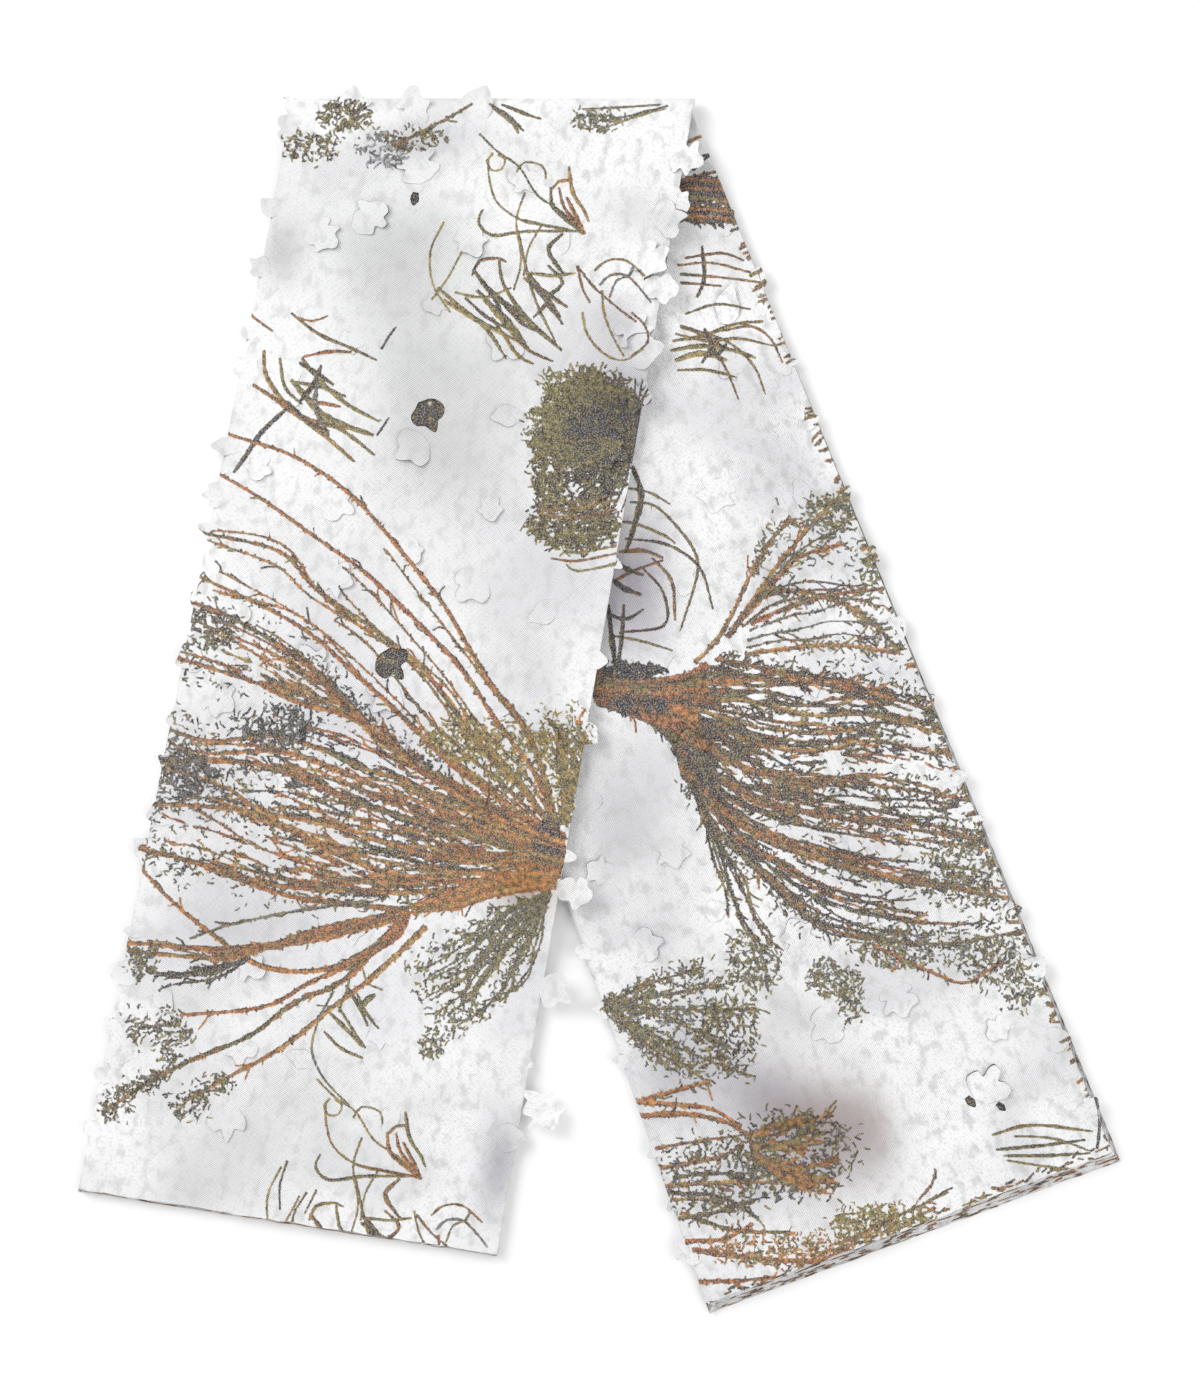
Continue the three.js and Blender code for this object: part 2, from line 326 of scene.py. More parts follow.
class Leaf:
    """A leaf cut in a ply: where its root is, the way that it points, and how it lifts."""

    def __init__(self, root, heading, kind="maple", size=1.0, lift=4, curl=6):
        self.root = np.array(root, float)
        self.along = np.array([math.cos(math.radians(heading)), math.sin(math.radians(heading))])
        self.side = left_normal(self.along)
        self.kind, self.size = kind, size
        self.lift, self.curl = math.radians(lift), math.radians(curl)
        self.length = LEAF_LENGTH * size
        self.rng = np.random.default_rng(int(abs(root[0] * 7919 + root[1] * 104729) * 1000))

    def outline(self):
        """The cut round the leaf: uneven pointed lobes through listed points, their tips a little blunt."""
        if hasattr(self, "cut_line"):
            return self.cut_line
        half = LEAF_WIDTH * self.size / 2
        root = min(LEAF_ROOT / 2, 0.4 * half)
        sides = []
        for sign in (1, -1):
            shape = np.array(LEAF_SHAPES[self.kind])
            shape += self.rng.uniform(-LEAF_UNEVEN, LEAF_UNEVEN, shape.shape)
            sides.append([(sign * half * x, self.length * y) for x, y in shape])
        tip = [(self.rng.uniform(-0.1, 0.1) * half, self.length)]
        line = [(root, 0.0), *sides[0], *tip, *sides[1][::-1], (-root, 0.0)]
        line = straight(np.array(line), LEAF_STEP)
        line[1:-1] = 0.5 * line[1:-1] + 0.25 * (line[:-2] + line[2:])
        line[1:-1, 1] = np.maximum(line[1:-1, 1], 0.4 * MM)
        self.cut_line = self.root + np.outer(-line[:, 0], self.side) + np.outer(line[:, 1], self.along)
        return self.cut_line

    def local(self, places):
        offset = places - self.root
        return offset @ self.along, offset @ self.side

    def centre(self):
        return self.root + self.along * self.length * 0.5

    def raise_up(self, places, z):
        """Bends the flat leaf up about its root, with z as the cloth's height under each place."""
        along, side = self.local(places)
        t = np.maximum(along, 0)
        bend = self.curl / self.length
        if abs(bend) < 1e-6:
            run, rise = t * math.cos(self.lift), t * math.sin(self.lift)
        else:
            angle = self.lift + bend * t
            run = (np.sin(angle) - math.sin(self.lift)) / bend
            rise = (math.cos(self.lift) - np.cos(angle)) / bend
        run = np.where(along < 0, along, run)
        cup = LEAF_CUP * (side / (LEAF_WIDTH / 2)) ** 2 * t
        plan = self.root + np.outer(run, self.along) + np.outer(side, self.side)
        return np.column_stack([plan, z + rise + cup])


# --- ink ---------------------------------------------------------------------------------------------


def linear(colour):
    parts = np.array([int(colour[i : i + 2], 16) for i in (0, 2, 4)]) / 255
    return tuple(np.where(parts <= 0.04045, parts / 12.92, ((parts + 0.055) / 1.055) ** 2.4))


def inks(*colours):
    return tuple(linear(c) for c in colours)


ORANGE = inks("cd8238", "d68f42", "c0732c", "cfa04c", "b5682c")
RUST = inks("a06c36", "8a5e38", "a87c3e")
BARK = inks("54402f", "463529", "64503a")
CHARCOAL = inks("423d3f", "343134", "524c4d", "5a5145")
OLIVE = inks("80743a", "918345", "6b6230", "9c9052")
STRAW = inks("b3953e", "a68736", "bfa75a")
GREY = inks("72706c", "84817b", "5e5b59")
PALE = inks("b4b4bb", "a9a8b0", "c2c2c8")


def curve(points, step=4 * MM, place=(0, 0)):
    """A smooth path through given points in millimetres, moved to a place."""
    p = (np.array(points, float) + place) * MM
    if len(p) == 2:
        count = max(2, int(np.linalg.norm(p[1] - p[0]) / step))
        return p[0] + np.outer(np.linspace(0, 1, count + 1), p[1] - p[0])
    padded = np.concatenate([[2 * p[0] - p[1]], p, [2 * p[-1] - p[-2]]])
    pieces = []
    for a, b, c, d in zip(padded[:-3], padded[1:-2], padded[2:-1], padded[3:]):
        count = max(1, int(np.linalg.norm(c - b) / step))
        t = (np.arange(count) / count)[:, None]
        square, cube = 2 * a - 5 * b + 4 * c - d, 3 * b - a - 3 * c + d
        pieces.append(0.5 * (2 * b + (c - a) * t + square * t**2 + cube * t**3))
    return np.concatenate([*pieces, p[-1:]])


def straight(points, step):
    """The straight lines between points, with more points along them."""
    pieces = []
    for a, b in zip(points[:-1], points[1:]):
        count = max(1, int(np.linalg.norm(b - a) / step))
        pieces.append(a + (b - a) * (np.arange(count) / count)[:, None])
    return np.concatenate([*pieces, points[-1:]])


def resample(path, count):
    reach = np.concatenate([[0], np.cumsum(np.linalg.norm(np.diff(path, axis=0), axis=1))])
    want = np.linspace(0, reach[-1], count)
    return np.column_stack([np.interp(want, reach, path[:, i]) for i in (0, 1)])


def fine(path):
    length = np.linalg.norm(np.diff(path, axis=0), axis=1).sum()
    return resample(path, max(3, int(length / DOT_STEP)))


def normals_of(path):
    d = np.gradient(path, axis=0)
    d /= np.maximum(np.linalg.norm(d, axis=1), 1e-9)[:, None]
    return np.column_stack([-d[:, 1], d[:, 0]])


def soften(dots, times=1):
    """Averages a raster with its neighbours along both ways."""
    for _ in range(times):
        for axis in (0, 1):
            dots = 0.5 * dots + 0.25 * (np.roll(dots, 1, axis) + np.roll(dots, -1, axis))
    return dots


class Print:
    """The ink on one ply, laid stroke over stroke on a fine raster of the flat cloth."""

    def __init__(self, leg, ply, seed):
        outline = ply_outline(leg, ply)
        self.rng = np.random.default_rng(seed)
        self.dot = DOT if ply == PLIES else 2 * DOT
        self.low = np.min(outline, axis=0) - MARGIN
        wide, high = (np.max(outline, axis=0) + MARGIN - self.low) / self.dot
        self.dots = np.zeros((int(high) + 1, int(wide) + 1, 4), np.float32)

    def dot_at(self, places):
        x, y = ((places - self.low) / self.dot).astype(int).T
        high, wide = self.dots.shape[:2]
        return x, y, (x >= 0) & (x < wide) & (y >= 0) & (y < high)

    def put(self, places, colours):
        x, y, ok = self.dot_at(places.reshape(-1, 2))
        self.dots[y[ok], x[ok], :3] = colours.reshape(-1, 3)[ok]
        self.dots[y[ok], x[ok], 3] = 1

    def finish(self):
        """Softens the dots into the ink that places on the cloth take."""
        cover = self.dots[:, :, 3:]
        self.cover = soften(cover)
        spread = soften(np.concatenate([self.dots[:, :, :3] * cover, cover], axis=2), 2)
        self.colour = spread[:, :, :3] / np.maximum(spread[:, :, 3:], 1e-5)
        self.inked = soften(spread[:, :, 3], 1) > 0.01

    def ink_at(self, places):
        x, y, ok = self.dot_at(places)
        found = np.zeros((len(places), 4))
        found[ok, :3] = self.colour[y[ok], x[ok]]
        found[ok, 3] = self.cover[y[ok], x[ok], 0]
        return found

    def is_inked(self, places):
        x, y, ok = self.dot_at(places)
        found = np.zeros(len(places), bool)
        found[ok] = self.inked[y[ok], x[ok]]
        return found

    def pick(self, colours):
        return np.array(colours[self.rng.integers(len(colours))]) * self.rng.uniform(0.85, 1.15)

    def wander(self, count, amount, run=3 * MM):
        """A smooth random factor along a stroke."""
        knots = np.arange(0, count + run / DOT_STEP + 1, run / DOT_STEP)
        return 1 + amount * np.interp(np.arange(count), knots, self.rng.uniform(-1, 1, len(knots)))

    def strip(self, path, start, end, colours, rough=0.2):
        """A tapered stroke along a path, from one width to another, thin and broken in places."""
        path = fine(path)
        start, end, count = start * MM, end * MM, len(path)
        widths = np.linspace(start, end, count) * self.wander(count, rough)
        across = np.linspace(-0.5, 0.5, int(max(start, end) / DOT_STEP) + 2)
        places = path[:, None] + normals_of(path)[:, None] * (widths[:, None] * across)[..., None]
        first, second = self.pick(colours), self.pick(colours)
        blend = np.clip(self.wander(count, 1, 7 * MM) - 0.5, 0, 1)[:, None, None]
        colour = np.broadcast_to(first * blend + second * (1 - blend), (*places.shape[:2], 3))
        kept = self.rng.random(places.shape[:2]) > 0.12
        self.put(places[kept], colour[kept])

    def dashes(self, starts, angles, lengths, widths, colours, bend=0.5):
        """Many short bent strokes at once."""
        count = len(starts)
        if not count:
            return
        turn = angles + self.rng.normal(0, bend, count)
        first = np.column_stack([np.cos(angles), np.sin(angles)])
        second = np.column_stack([np.cos(turn), np.sin(turn)])
        along = np.linspace(0, 1, int(lengths.max() / DOT_STEP) + 2)
        across = np.linspace(-0.5, 0.5, int(widths.max() / DOT_STEP) + 1)
        ahead = np.minimum(along, 0.5)[None, :, None] * first[:, None]
        ahead = ahead + np.maximum(along - 0.5, 0)[None, :, None] * second[:, None]
        spine = starts[:, None] + ahead * lengths[:, None, None]
        side = np.column_stack([-first[:, 1], first[:, 0]]) * widths[:, None]
        places = spine[:, :, None] + side[:, None, None] * across[None, None, :, None]
        table = np.array(colours)
        tone = table[self.rng.integers(len(table), size=count)] * self.rng.uniform(0.8, 1.2, (count, 1))
        self.put(places, np.broadcast_to(tone[:, None, None], (*places.shape[:3], 3)))

    def stem(self, path, start, end, colours=ORANGE, shade=CHARCOAL, twigs=0.5):
        """A barky stem: bright and dark streaks along it, broken edges, nubs and a few twigs."""
        path = fine(path)
        start, end, count = start * MM, end * MM, len(path)
        side = normals_of(path)
        widths = np.linspace(start, end, count) * self.wander(count, 0.25)
        across = np.linspace(-0.5, 0.5, int(max(start, end) / DOT_STEP) + 2)
        run = 4 * MM / DOT_STEP
        knots = np.arange(0, count + run, run)
        grain = np.array([np.interp(np.arange(count), knots, self.rng.random(len(knots))) for _ in across]).T
        lean = 1 if self.rng.random() < 0.75 else -1
        tone = grain - lean * across * 0.85
        first, second, dark = self.pick(colours), self.pick(colours + OLIVE[:2]), self.pick(shade)
        blend = np.clip(self.wander(count, 1, 9 * MM) - 0.6, 0, 1)[:, None, None]
        colour = first * blend + second * (1 - blend) + np.zeros((1, len(across), 1))
        colour = np.where((tone < 0.18)[..., None], colour * 1.35 + 0.03, colour)
        colour = np.where((tone > 0.8)[..., None], dark, colour)
        spots = self.rng.random(tone.shape)
        colour = np.where((spots < 0.07)[..., None], dark, colour)
        kept = (np.abs(across) < 0.26) | (grain > 0.36)
        kept &= spots < 0.93
        places = path[:, None] + side[:, None] * (widths[:, None] * across)[..., None]
        self.put(places[kept], colour[kept])
        length = count * DOT_STEP
        nubs = int(length / (5 * MM))
        at = self.rng.integers(0, count, nubs)
        way = np.where(self.rng.random(nubs) < 0.5, 1, -1)
        heading = np.arctan2(-side[at, 0], side[at, 1]) + way * self.rng.uniform(0.3, 1.3, nubs)
        where = path[at] + side[at] * (way * widths[at] * 0.4)[:, None]
        lengths = self.rng.uniform(0.8, 2.4, nubs) * MM
        self.dashes(where, heading, lengths, np.full(nubs, 0.7 * MM), (first, dark))
        shoots = int(length * twigs / (13 * MM))
        at = self.rng.integers(count // 6, count, shoots)
        heading = np.arctan2(-side[at, 0], side[at, 1]) + self.rng.normal(0, 0.42, shoots)
        lengths = self.rng.uniform(6, 17, shoots) * MM
        self.dashes(path[at], heading, lengths, np.full(shoots, 0.9 * MM), colours + BARK + OLIVE)

    def fuzz(self, path, spread, count, colours=OLIVE + GREY, size=5.0, width=0.8, open_up=0.9):
        """Fine twiglets scattered along a path, wider towards its end."""
        at = self.rng.random(count)
        place = at * (len(path) - 1)
        index = np.minimum(place.astype(int), len(path) - 2)
        base = path[index] + (path[index + 1] - path[index]) * (place - index)[:, None]
        side = normals_of(path)[index]
        reach = (spread[0] + (spread[1] - spread[0]) * at) * MM
        starts = base + side * (self.rng.normal(0, 0.6, count) * reach)[:, None]
        heading = np.arctan2(-side[:, 0], side[:, 1]) + self.rng.normal(0, open_up, count)
        lengths = size * self.rng.uniform(0.4, 1.3, count) * MM
        widths = width * self.rng.uniform(0.5, 1.2, count) * MM
        self.dashes(starts, heading, lengths, widths, colours, 0.9)

    def cloud(self, centre, radii, count, colours, size=5.0, width=0.8, heading=None, open_up=2.0):
        """Fine twiglets in an oval patch."""
        angle = self.rng.uniform(0, 2 * math.pi, count)
        reach = np.sqrt(self.rng.random(count)) * (1 + self.rng.normal(0, 0.15, count))
        starts = np.array(centre) * MM + np.column_stack(
            [np.cos(angle) * reach * radii[0] * MM, np.sin(angle) * reach * radii[1] * MM]
        )
        way = angle if heading is None else np.full(count, math.radians(heading))
        way = way + self.rng.normal(0, open_up / 2, count)
        lengths = size * self.rng.uniform(0.4, 1.4, count) * MM
        self.dashes(starts, way, lengths, width * self.rng.uniform(0.5, 1.3, count) * MM, colours, 0.9)

    def blade(self, points, width, colours, shade, place):
        """A grass blade: widest past its middle, dark along one edge and light along the other."""
        path = fine(curve(points, 5 * MM, place))
        count = len(path)
        t = np.linspace(0, 1, count)
        profile = width * MM * (0.25 + 0.75 * np.sin(math.pi * np.clip(t * 0.8 + 0.12, 0, 1)))
        profile = profile * self.wander(count, 0.25)
        across = np.linspace(-0.5, 0.5, int(width * MM / DOT_STEP) + 2)
        run = 5 * MM / DOT_STEP
        knots = np.arange(0, count + run, run)
        grain = np.array([np.interp(np.arange(count), knots, self.rng.random(len(knots))) for _ in across]).T
        tone = grain * 0.8 + across * 0.9
        body, light, dark = self.pick(colours), self.pick(STRAW), self.pick(shade)
        colour = np.where((tone > 0.62)[..., None], dark, body)
        colour = np.where((tone < -0.05)[..., None], light, colour)
        places = path[:, None] + normals_of(path)[:, None] * (profile[:, None] * across)[..., None]
        kept = self.rng.random(tone.shape) > 0.07
        self.put(places[kept], colour[kept])

    def blades(self, lines, colours, shade, place=(0, 0)):
        """Grass blades, each given by its width and its points."""
        for width, *points in lines:
            self.blade(points, width, colours, shade, place)

    def strips(self, lines, start, end, colours, rough=0.2, place=(0, 0)):
        """Tapered strokes through given points."""
        for points in lines:
            self.strip(curve(points, place=place), start, end, colours, rough)

    def stems(self, guides, start, end, colours, shade=CHARCOAL, twigs=0.5):
        """A stem along each given guide line."""
        for guide in guides:
            self.stem(curve(guide), start, end, colours, shade, twigs)

    def gaps(self, guides, count, width, length, reach=(0.15, 0.9)):
        """Long lens-shaped places between the stems where the snow shows through."""
        set_out = [resample(curve(g), GAP_POINTS) for g in guides]
        for _ in range(count):
            u = self.rng.uniform(0, len(guides) - 1)
            i = min(int(u), len(guides) - 2)
            path = set_out[i] + (set_out[i + 1] - set_out[i]) * (u - i)
            first = int(GAP_POINTS * self.rng.uniform(*reach))
            path = fine(path[first : first + max(6, int(self.rng.uniform(0.5, 1.2) * length))])
            span = np.sin(np.linspace(0, math.pi, len(path))) * width * MM * self.rng.uniform(0.5, 1.2)
            span *= self.wander(len(path), 0.5)
            across = np.linspace(-0.5, 0.5, int(width * 1.8 * MM / DOT_STEP) + 2)
            places = path[:, None] + normals_of(path)[:, None] * (span[:, None] * across)[..., None]
            x, y, ok = self.dot_at(places.reshape(-1, 2))
            self.dots[y[ok], x[ok], 3] = 0

    def fan(self, guides, count, start, end, colours, shade, twigs=0.5, wobble=2.5, reach=(0.7, 1.0)):
        """Stems that fill the space between given guide stems."""
        set_out = [resample(curve(g), FAN_POINTS) for g in guides]
        for _ in range(count):
            u = self.rng.uniform(0, len(guides) - 1)
            i = min(int(u), len(guides) - 2)
            path = set_out[i] + (set_out[i + 1] - set_out[i]) * (u - i)
            cut = max(8, int(FAN_POINTS * self.rng.uniform(*reach)))
            path = path[:cut]
            t = np.linspace(0, 1, cut)[:, None]
            sway = sum(np.sin(t * self.rng.uniform(4, 14) + self.rng.uniform(0, 6)) for _ in range(2))
            path = path + normals_of(path) * sway * wobble * MM * t
            width = self.rng.uniform(0.6, 1.1)
            self.stem(path, start * width, end * width, colours, shade, twigs)


def grass_motif(ink, place):
    """A tuft with tendrils and a cluster of broad blades below it, which the cloth repeats."""
    ink.strips([
        ((-98, 468), (-83, 453), (-66, 441), (-51, 418), (-31, 404), (-14, 386)),
        ((-68, 436), (-61, 445), (-46, 441), (-44, 431)),
        ((-87, 452), (-92, 446), (-88, 438), (-80, 439), (-77, 447), (-83, 451)),
        ((-91, 448), (-90, 431), (-83, 411), (-61, 396), (-31, 391), (-15, 387)),
        ((-61, 420), (-68, 396), (-64, 365), (-70, 340)),
        ((-48, 392), (-58, 374), (-62, 352)),
        ((-137, 332), (-124, 350), (-112, 372)),
        ((-127, 396), (-138, 372), (-136, 345), (-122, 322)),
    ], 1.3, 1.0, OLIVE + STRAW, 0.3, place)
    ink.blades([
        (2.2, (-95, 406), (-99, 396), (-88, 385), (-60, 388), (-18, 388)),
        (2.8, (-25, 441), (-22, 420), (-12, 404), (-9, 396)),
        (2.0, (-40, 422), (-33, 429), (-22, 430)),
        (3.0, (-40, 424), (-38, 408), (-25, 396), (-13, 386)),
        (2.4, (-33, 424), (-29, 408), (-14, 388)),
        (3.0, (-27, 416), (-20, 402), (-12, 386)),
        (1.8, (-66, 398), (-40, 392), (-14, 387)),
    ], OLIVE + ORANGE, BARK, place)
    ink.blades([
        (4.2, (-103, 357), (-88, 338), (-60, 316), (-31, 291)),
        (2.2, (-104, 352), (-98, 364), (-82, 366), (-76, 363)),
        (2.8, (-82, 364), (-78, 344), (-60, 318), (-33, 293)),
        (3.2, (-127, 332), (-108, 320), (-82, 306), (-66, 298)),
        (4.6, (-100, 340), (-84, 322), (-70, 304), (-64, 298)),
        (4.2, (-94, 332), (-76, 316), (-62, 298), (-58, 292)),
        (2.6, (-112, 326), (-92, 308), (-80, 290), (-76, 284)),
        (2.6, (-88, 318), (-76, 300), (-66, 286), (-54, 280)),
        (2.2, (-70, 302), (-56, 290), (-38, 282)),
        (1.8, (-66, 386), (-58, 350), (-50, 326), (-36, 298)),
        (4.0, (-61, 357), (-48, 340), (-32, 318)),
        (3.0, (-62, 350), (-44, 338), (-26, 326)),
        (3.2, (-30, 386), (-42, 374), (-36, 362), (-28, 352)),
        (2.6, (-42, 360), (-30, 346), (-44, 332), (-34, 318)),
        (2.2, (-58, 354), (-38, 352), (-20, 354)),
        (2.2, (-132, 342), (-118, 330), (-104, 318)),
        (1.8, (-118, 338), (-94, 334), (-72, 342)),
    ], OLIVE + STRAW + RUST, CHARCOAL, place)
    ink.blades([
        (2.6, (-58, 348), (-44, 332), (-30, 312)),
        (2.6, (-96, 346), (-84, 330), (-76, 312)),
        (2.6, (-80, 330), (-62, 312), (-48, 306)),
        (2.6, (-110, 334), (-92, 318), (-74, 308)),
        (2.6, (-38, 340), (-46, 326), (-54, 318)),
    ], CHARCOAL, BARK, place)
    ink.strips([
        ((-16, 357), (-4, 342), (12, 328), (30, 314)),
        ((-4, 356), (6, 364), (22, 364), (38, 350)),
        ((0, 344), (8, 352), (22, 352), (36, 338), (42, 330)),
        ((-14, 322), (-10, 304), (4, 288), (20, 283), (36, 292)),
        ((2, 340), (4, 320), (12, 300), (20, 286)),
        ((28, 360), (24, 352), (14, 348), (8, 334)),
        ((26, 322), (36, 312), (40, 298), (26, 286)),
        ((-18, 360), (-14, 342), (-8, 330)),
    ], 1.7, 1.1, OLIVE + RUST + GREY, 0.4, place)


def front_print():
    """The brush, grass and bush on the front leg's top ply."""
    ink = Print(FRONT, PLIES, 31)
    grass_motif(ink, (0, 0))
    grass_motif(ink, (-134, -773))
    # sprigs along the crease
    ink.cloud((-208, 482), (20, 12), 190, OLIVE + BARK, 4.5)
    ink.cloud((-236, 456), (26, 12), 130, OLIVE + BARK, 4.5, heading=150)
    ink.cloud((-176, 456), (20, 14), 120, GREY + PALE, 5)
    ink.stem(curve([(-168, 458), (-140, 472), (-104, 492)]), 3.2, 1.6, RUST)
    ink.cloud((-150, 463), (24, 9), 90, OLIVE + BARK, 4.5)
    ink.blades([
        (2.6, (-90, 492), (-74, 482), (-62, 470)),
        (2.6, (-80, 492), (-60, 484), (-48, 480)),
        (2.6, (-86, 488), (-70, 476), (-66, 468)),
    ], OLIVE, CHARCOAL)
    ink.strips([
        ((56, 491), (30, 484), (2, 478)),
        ((54, 489), (24, 480), (-2, 470)),
        ((50, 492), (22, 490), (-14, 488)),
    ], 1.6, 1.0, GREY + OLIVE, 0.4)
    ink.cloud((0, 480), (20, 9), 110, OLIVE + GREY, 4.5, heading=200)
    # tuft beside the left edge
    ink.blades([
        (2.4, (-253, 323), (-231, 306), (-203, 293), (-182, 283)),
        (2.2, (-243, 287), (-222, 291), (-203, 290)),
        (3.0, (-244, 286), (-230, 268), (-207, 248), (-180, 233)),
        (5.4, (-253, 268), (-237, 250), (-222, 236), (-185, 222)),
        (3.6, (-275, 292), (-273, 271), (-255, 246), (-225, 222), (-201, 201)),
        (3.2, (-284, 264), (-267, 253), (-243, 237), (-207, 228)),
        (2.4, (-262, 286), (-258, 262), (-244, 248)),
        (3.2, (-250, 266), (-228, 262), (-208, 254)),
        (2.4, (-236, 250), (-222, 248), (-212, 246)),
        (2.6, (-228, 232), (-210, 226), (-184, 206)),
        (1.8, (-296, 330), (-282, 318), (-268, 308)),
        (1.4, (-250, 320), (-236, 316), (-222, 320)),
    ], OLIVE + STRAW + ORANGE, BARK)
    ink.blades([
        (3.6, (-231, 268), (-233, 246), (-222, 222)),
        (3.6, (-246, 282), (-233, 274), (-218, 264)),
        (3.6, (-228, 280), (-236, 262), (-246, 250)),
        (3.6, (-255, 246), (-278, 224), (-290, 206), (-300, 192)),
        (3.6, (-256, 250), (-240, 234), (-222, 226)),
    ], CHARCOAL + GREY, BARK)
    ink.strips([
        ((-178, 292), (-172, 302), (-166, 310)),
        ((-182, 222), (-176, 230), (-172, 236)),
    ], 1.6, 1.2, CHARCOAL)
    # dense bush on the right edge
    bush_fuzz(ink)
    great_brush(ink)
    lower_fork(ink)
    # olive fan under the fork and the clump beside it
    olive = [
        [(-40, -150), (-80, -168), (-120, -192), (-158, -216)],
        [(-40, -152), (-76, -180), (-112, -214), (-150, -240)],
        [(-42, -154), (-74, -192), (-104, -228), (-138, -262)],
        [(-42, -156), (-64, -196), (-88, -240), (-128, -268)],
        [(-44, -158), (-50, -196), (-64, -226), (-100, -252)],
    ]
    ink.fan(olive, 22, 1.6, 1.0, OLIVE, GREY, 0.6, 2.0)
    for path in map(curve, olive[:4]):
        ink.fuzz(path, (3, 10), 170, OLIVE + GREY, 4.5)
    ink.cloud((-138, -276), (9, 14), 70, OLIVE + GREY, 4.5, heading=240)
    ink.blades([
        (2.4, (-226, -266), (-212, -280), (-194, -288)),
        (3.0, (-221, -251), (-206, -266), (-194, -279)),
        (2.0, (-214, -246), (-204, -262), (-192, -280)),
        (2.2, (-199, -235), (-192, -250), (-181, -264)),
        (2.6, (-208, -228), (-196, -248), (-190, -262)),
        (5.0, (-196, -246), (-190, -240), (-184, -236)),
    ], OLIVE + STRAW, CHARCOAL)
    ink.strips([
        ((-218, -233), (-230, -256), (-236, -280), (-230, -298), (-221, -311), (-205, -327)),
        ((-204, -205), (-206, -228), (-214, -250)),
        ((-196, -208), (-190, -226), (-178, -232)),
    ], 1.5, 1.0, OLIVE + GREY, 0.3)
    ink.strips([
        ((-256, -372), (-262, -392), (-262, -412)),
        ((-240, -398), (-250, -414), (-252, -426)),
        ((-232, -396), (-242, -416)),
    ], 1.4, 0.9, OLIVE + CHARCOAL, 0.3)
    return ink


def bush_fuzz(ink):
    """The dark bush that the front leg's right edge cuts through."""
    ink.cloud((-4, 234), (37, 36), 1500, OLIVE + BARK, 6.0, 1.1)
    ink.cloud((2, 226), (30, 30), 900, CHARCOAL + BARK + OLIVE, 6.0, 1.3)
    ink.cloud((-6, 236), (36, 34), 260, OLIVE + BARK, 5.0, 0.9)
    ink.cloud((6, 222), (26, 24), 500, CHARCOAL + BARK, 6.0, 1.2)
    ink.cloud((-22, 262), (26, 14), 160, OLIVE, 6.0, 0.8)
    ink.cloud((-40, 196), (14, 34), 560, OLIVE + BARK, 5.0, 0.9)
    ink.cloud((2, 192), (22, 22), 420, OLIVE + BARK + CHARCOAL, 6.0, 1.0, heading=190, open_up=1.0)
    ink.cloud((-20, 150), (36, 22), 700, OLIVE + BARK, 5.5, 0.9, heading=190, open_up=1.2)
    ink.cloud((-44, 226), (16, 22), 200, OLIVE, 5.0, 0.7, heading=150)
    root = np.array([26, 214])
    for angle in range(64, 268, 5):
        way = math.radians(angle + ink.rng.uniform(-5, 5))
        reach = ink.rng.uniform(45, 78) * (0.75 if 110 < angle < 230 else 0.8)
        tip = root + reach * np.array([math.cos(way), math.sin(way)])
        middle = (root + tip) / 2 + ink.rng.uniform(-5, 5, 2)
        ink.strip(curve([root, middle, tip]), 1.8, 0.8, BARK + OLIVE + CHARCOAL, 0.4)
    for level in range(9):
        y = 168 - 7 * level + ink.rng.uniform(-2, 2)
        left = -50 + ink.rng.uniform(-6, 12) + level * 2
        points = [(14, y + 6), (-18, y), (left, y + ink.rng.uniform(-4, 6))]
        ink.strip(curve(points), 1.6, 1.0, OLIVE + RUST, 0.4)


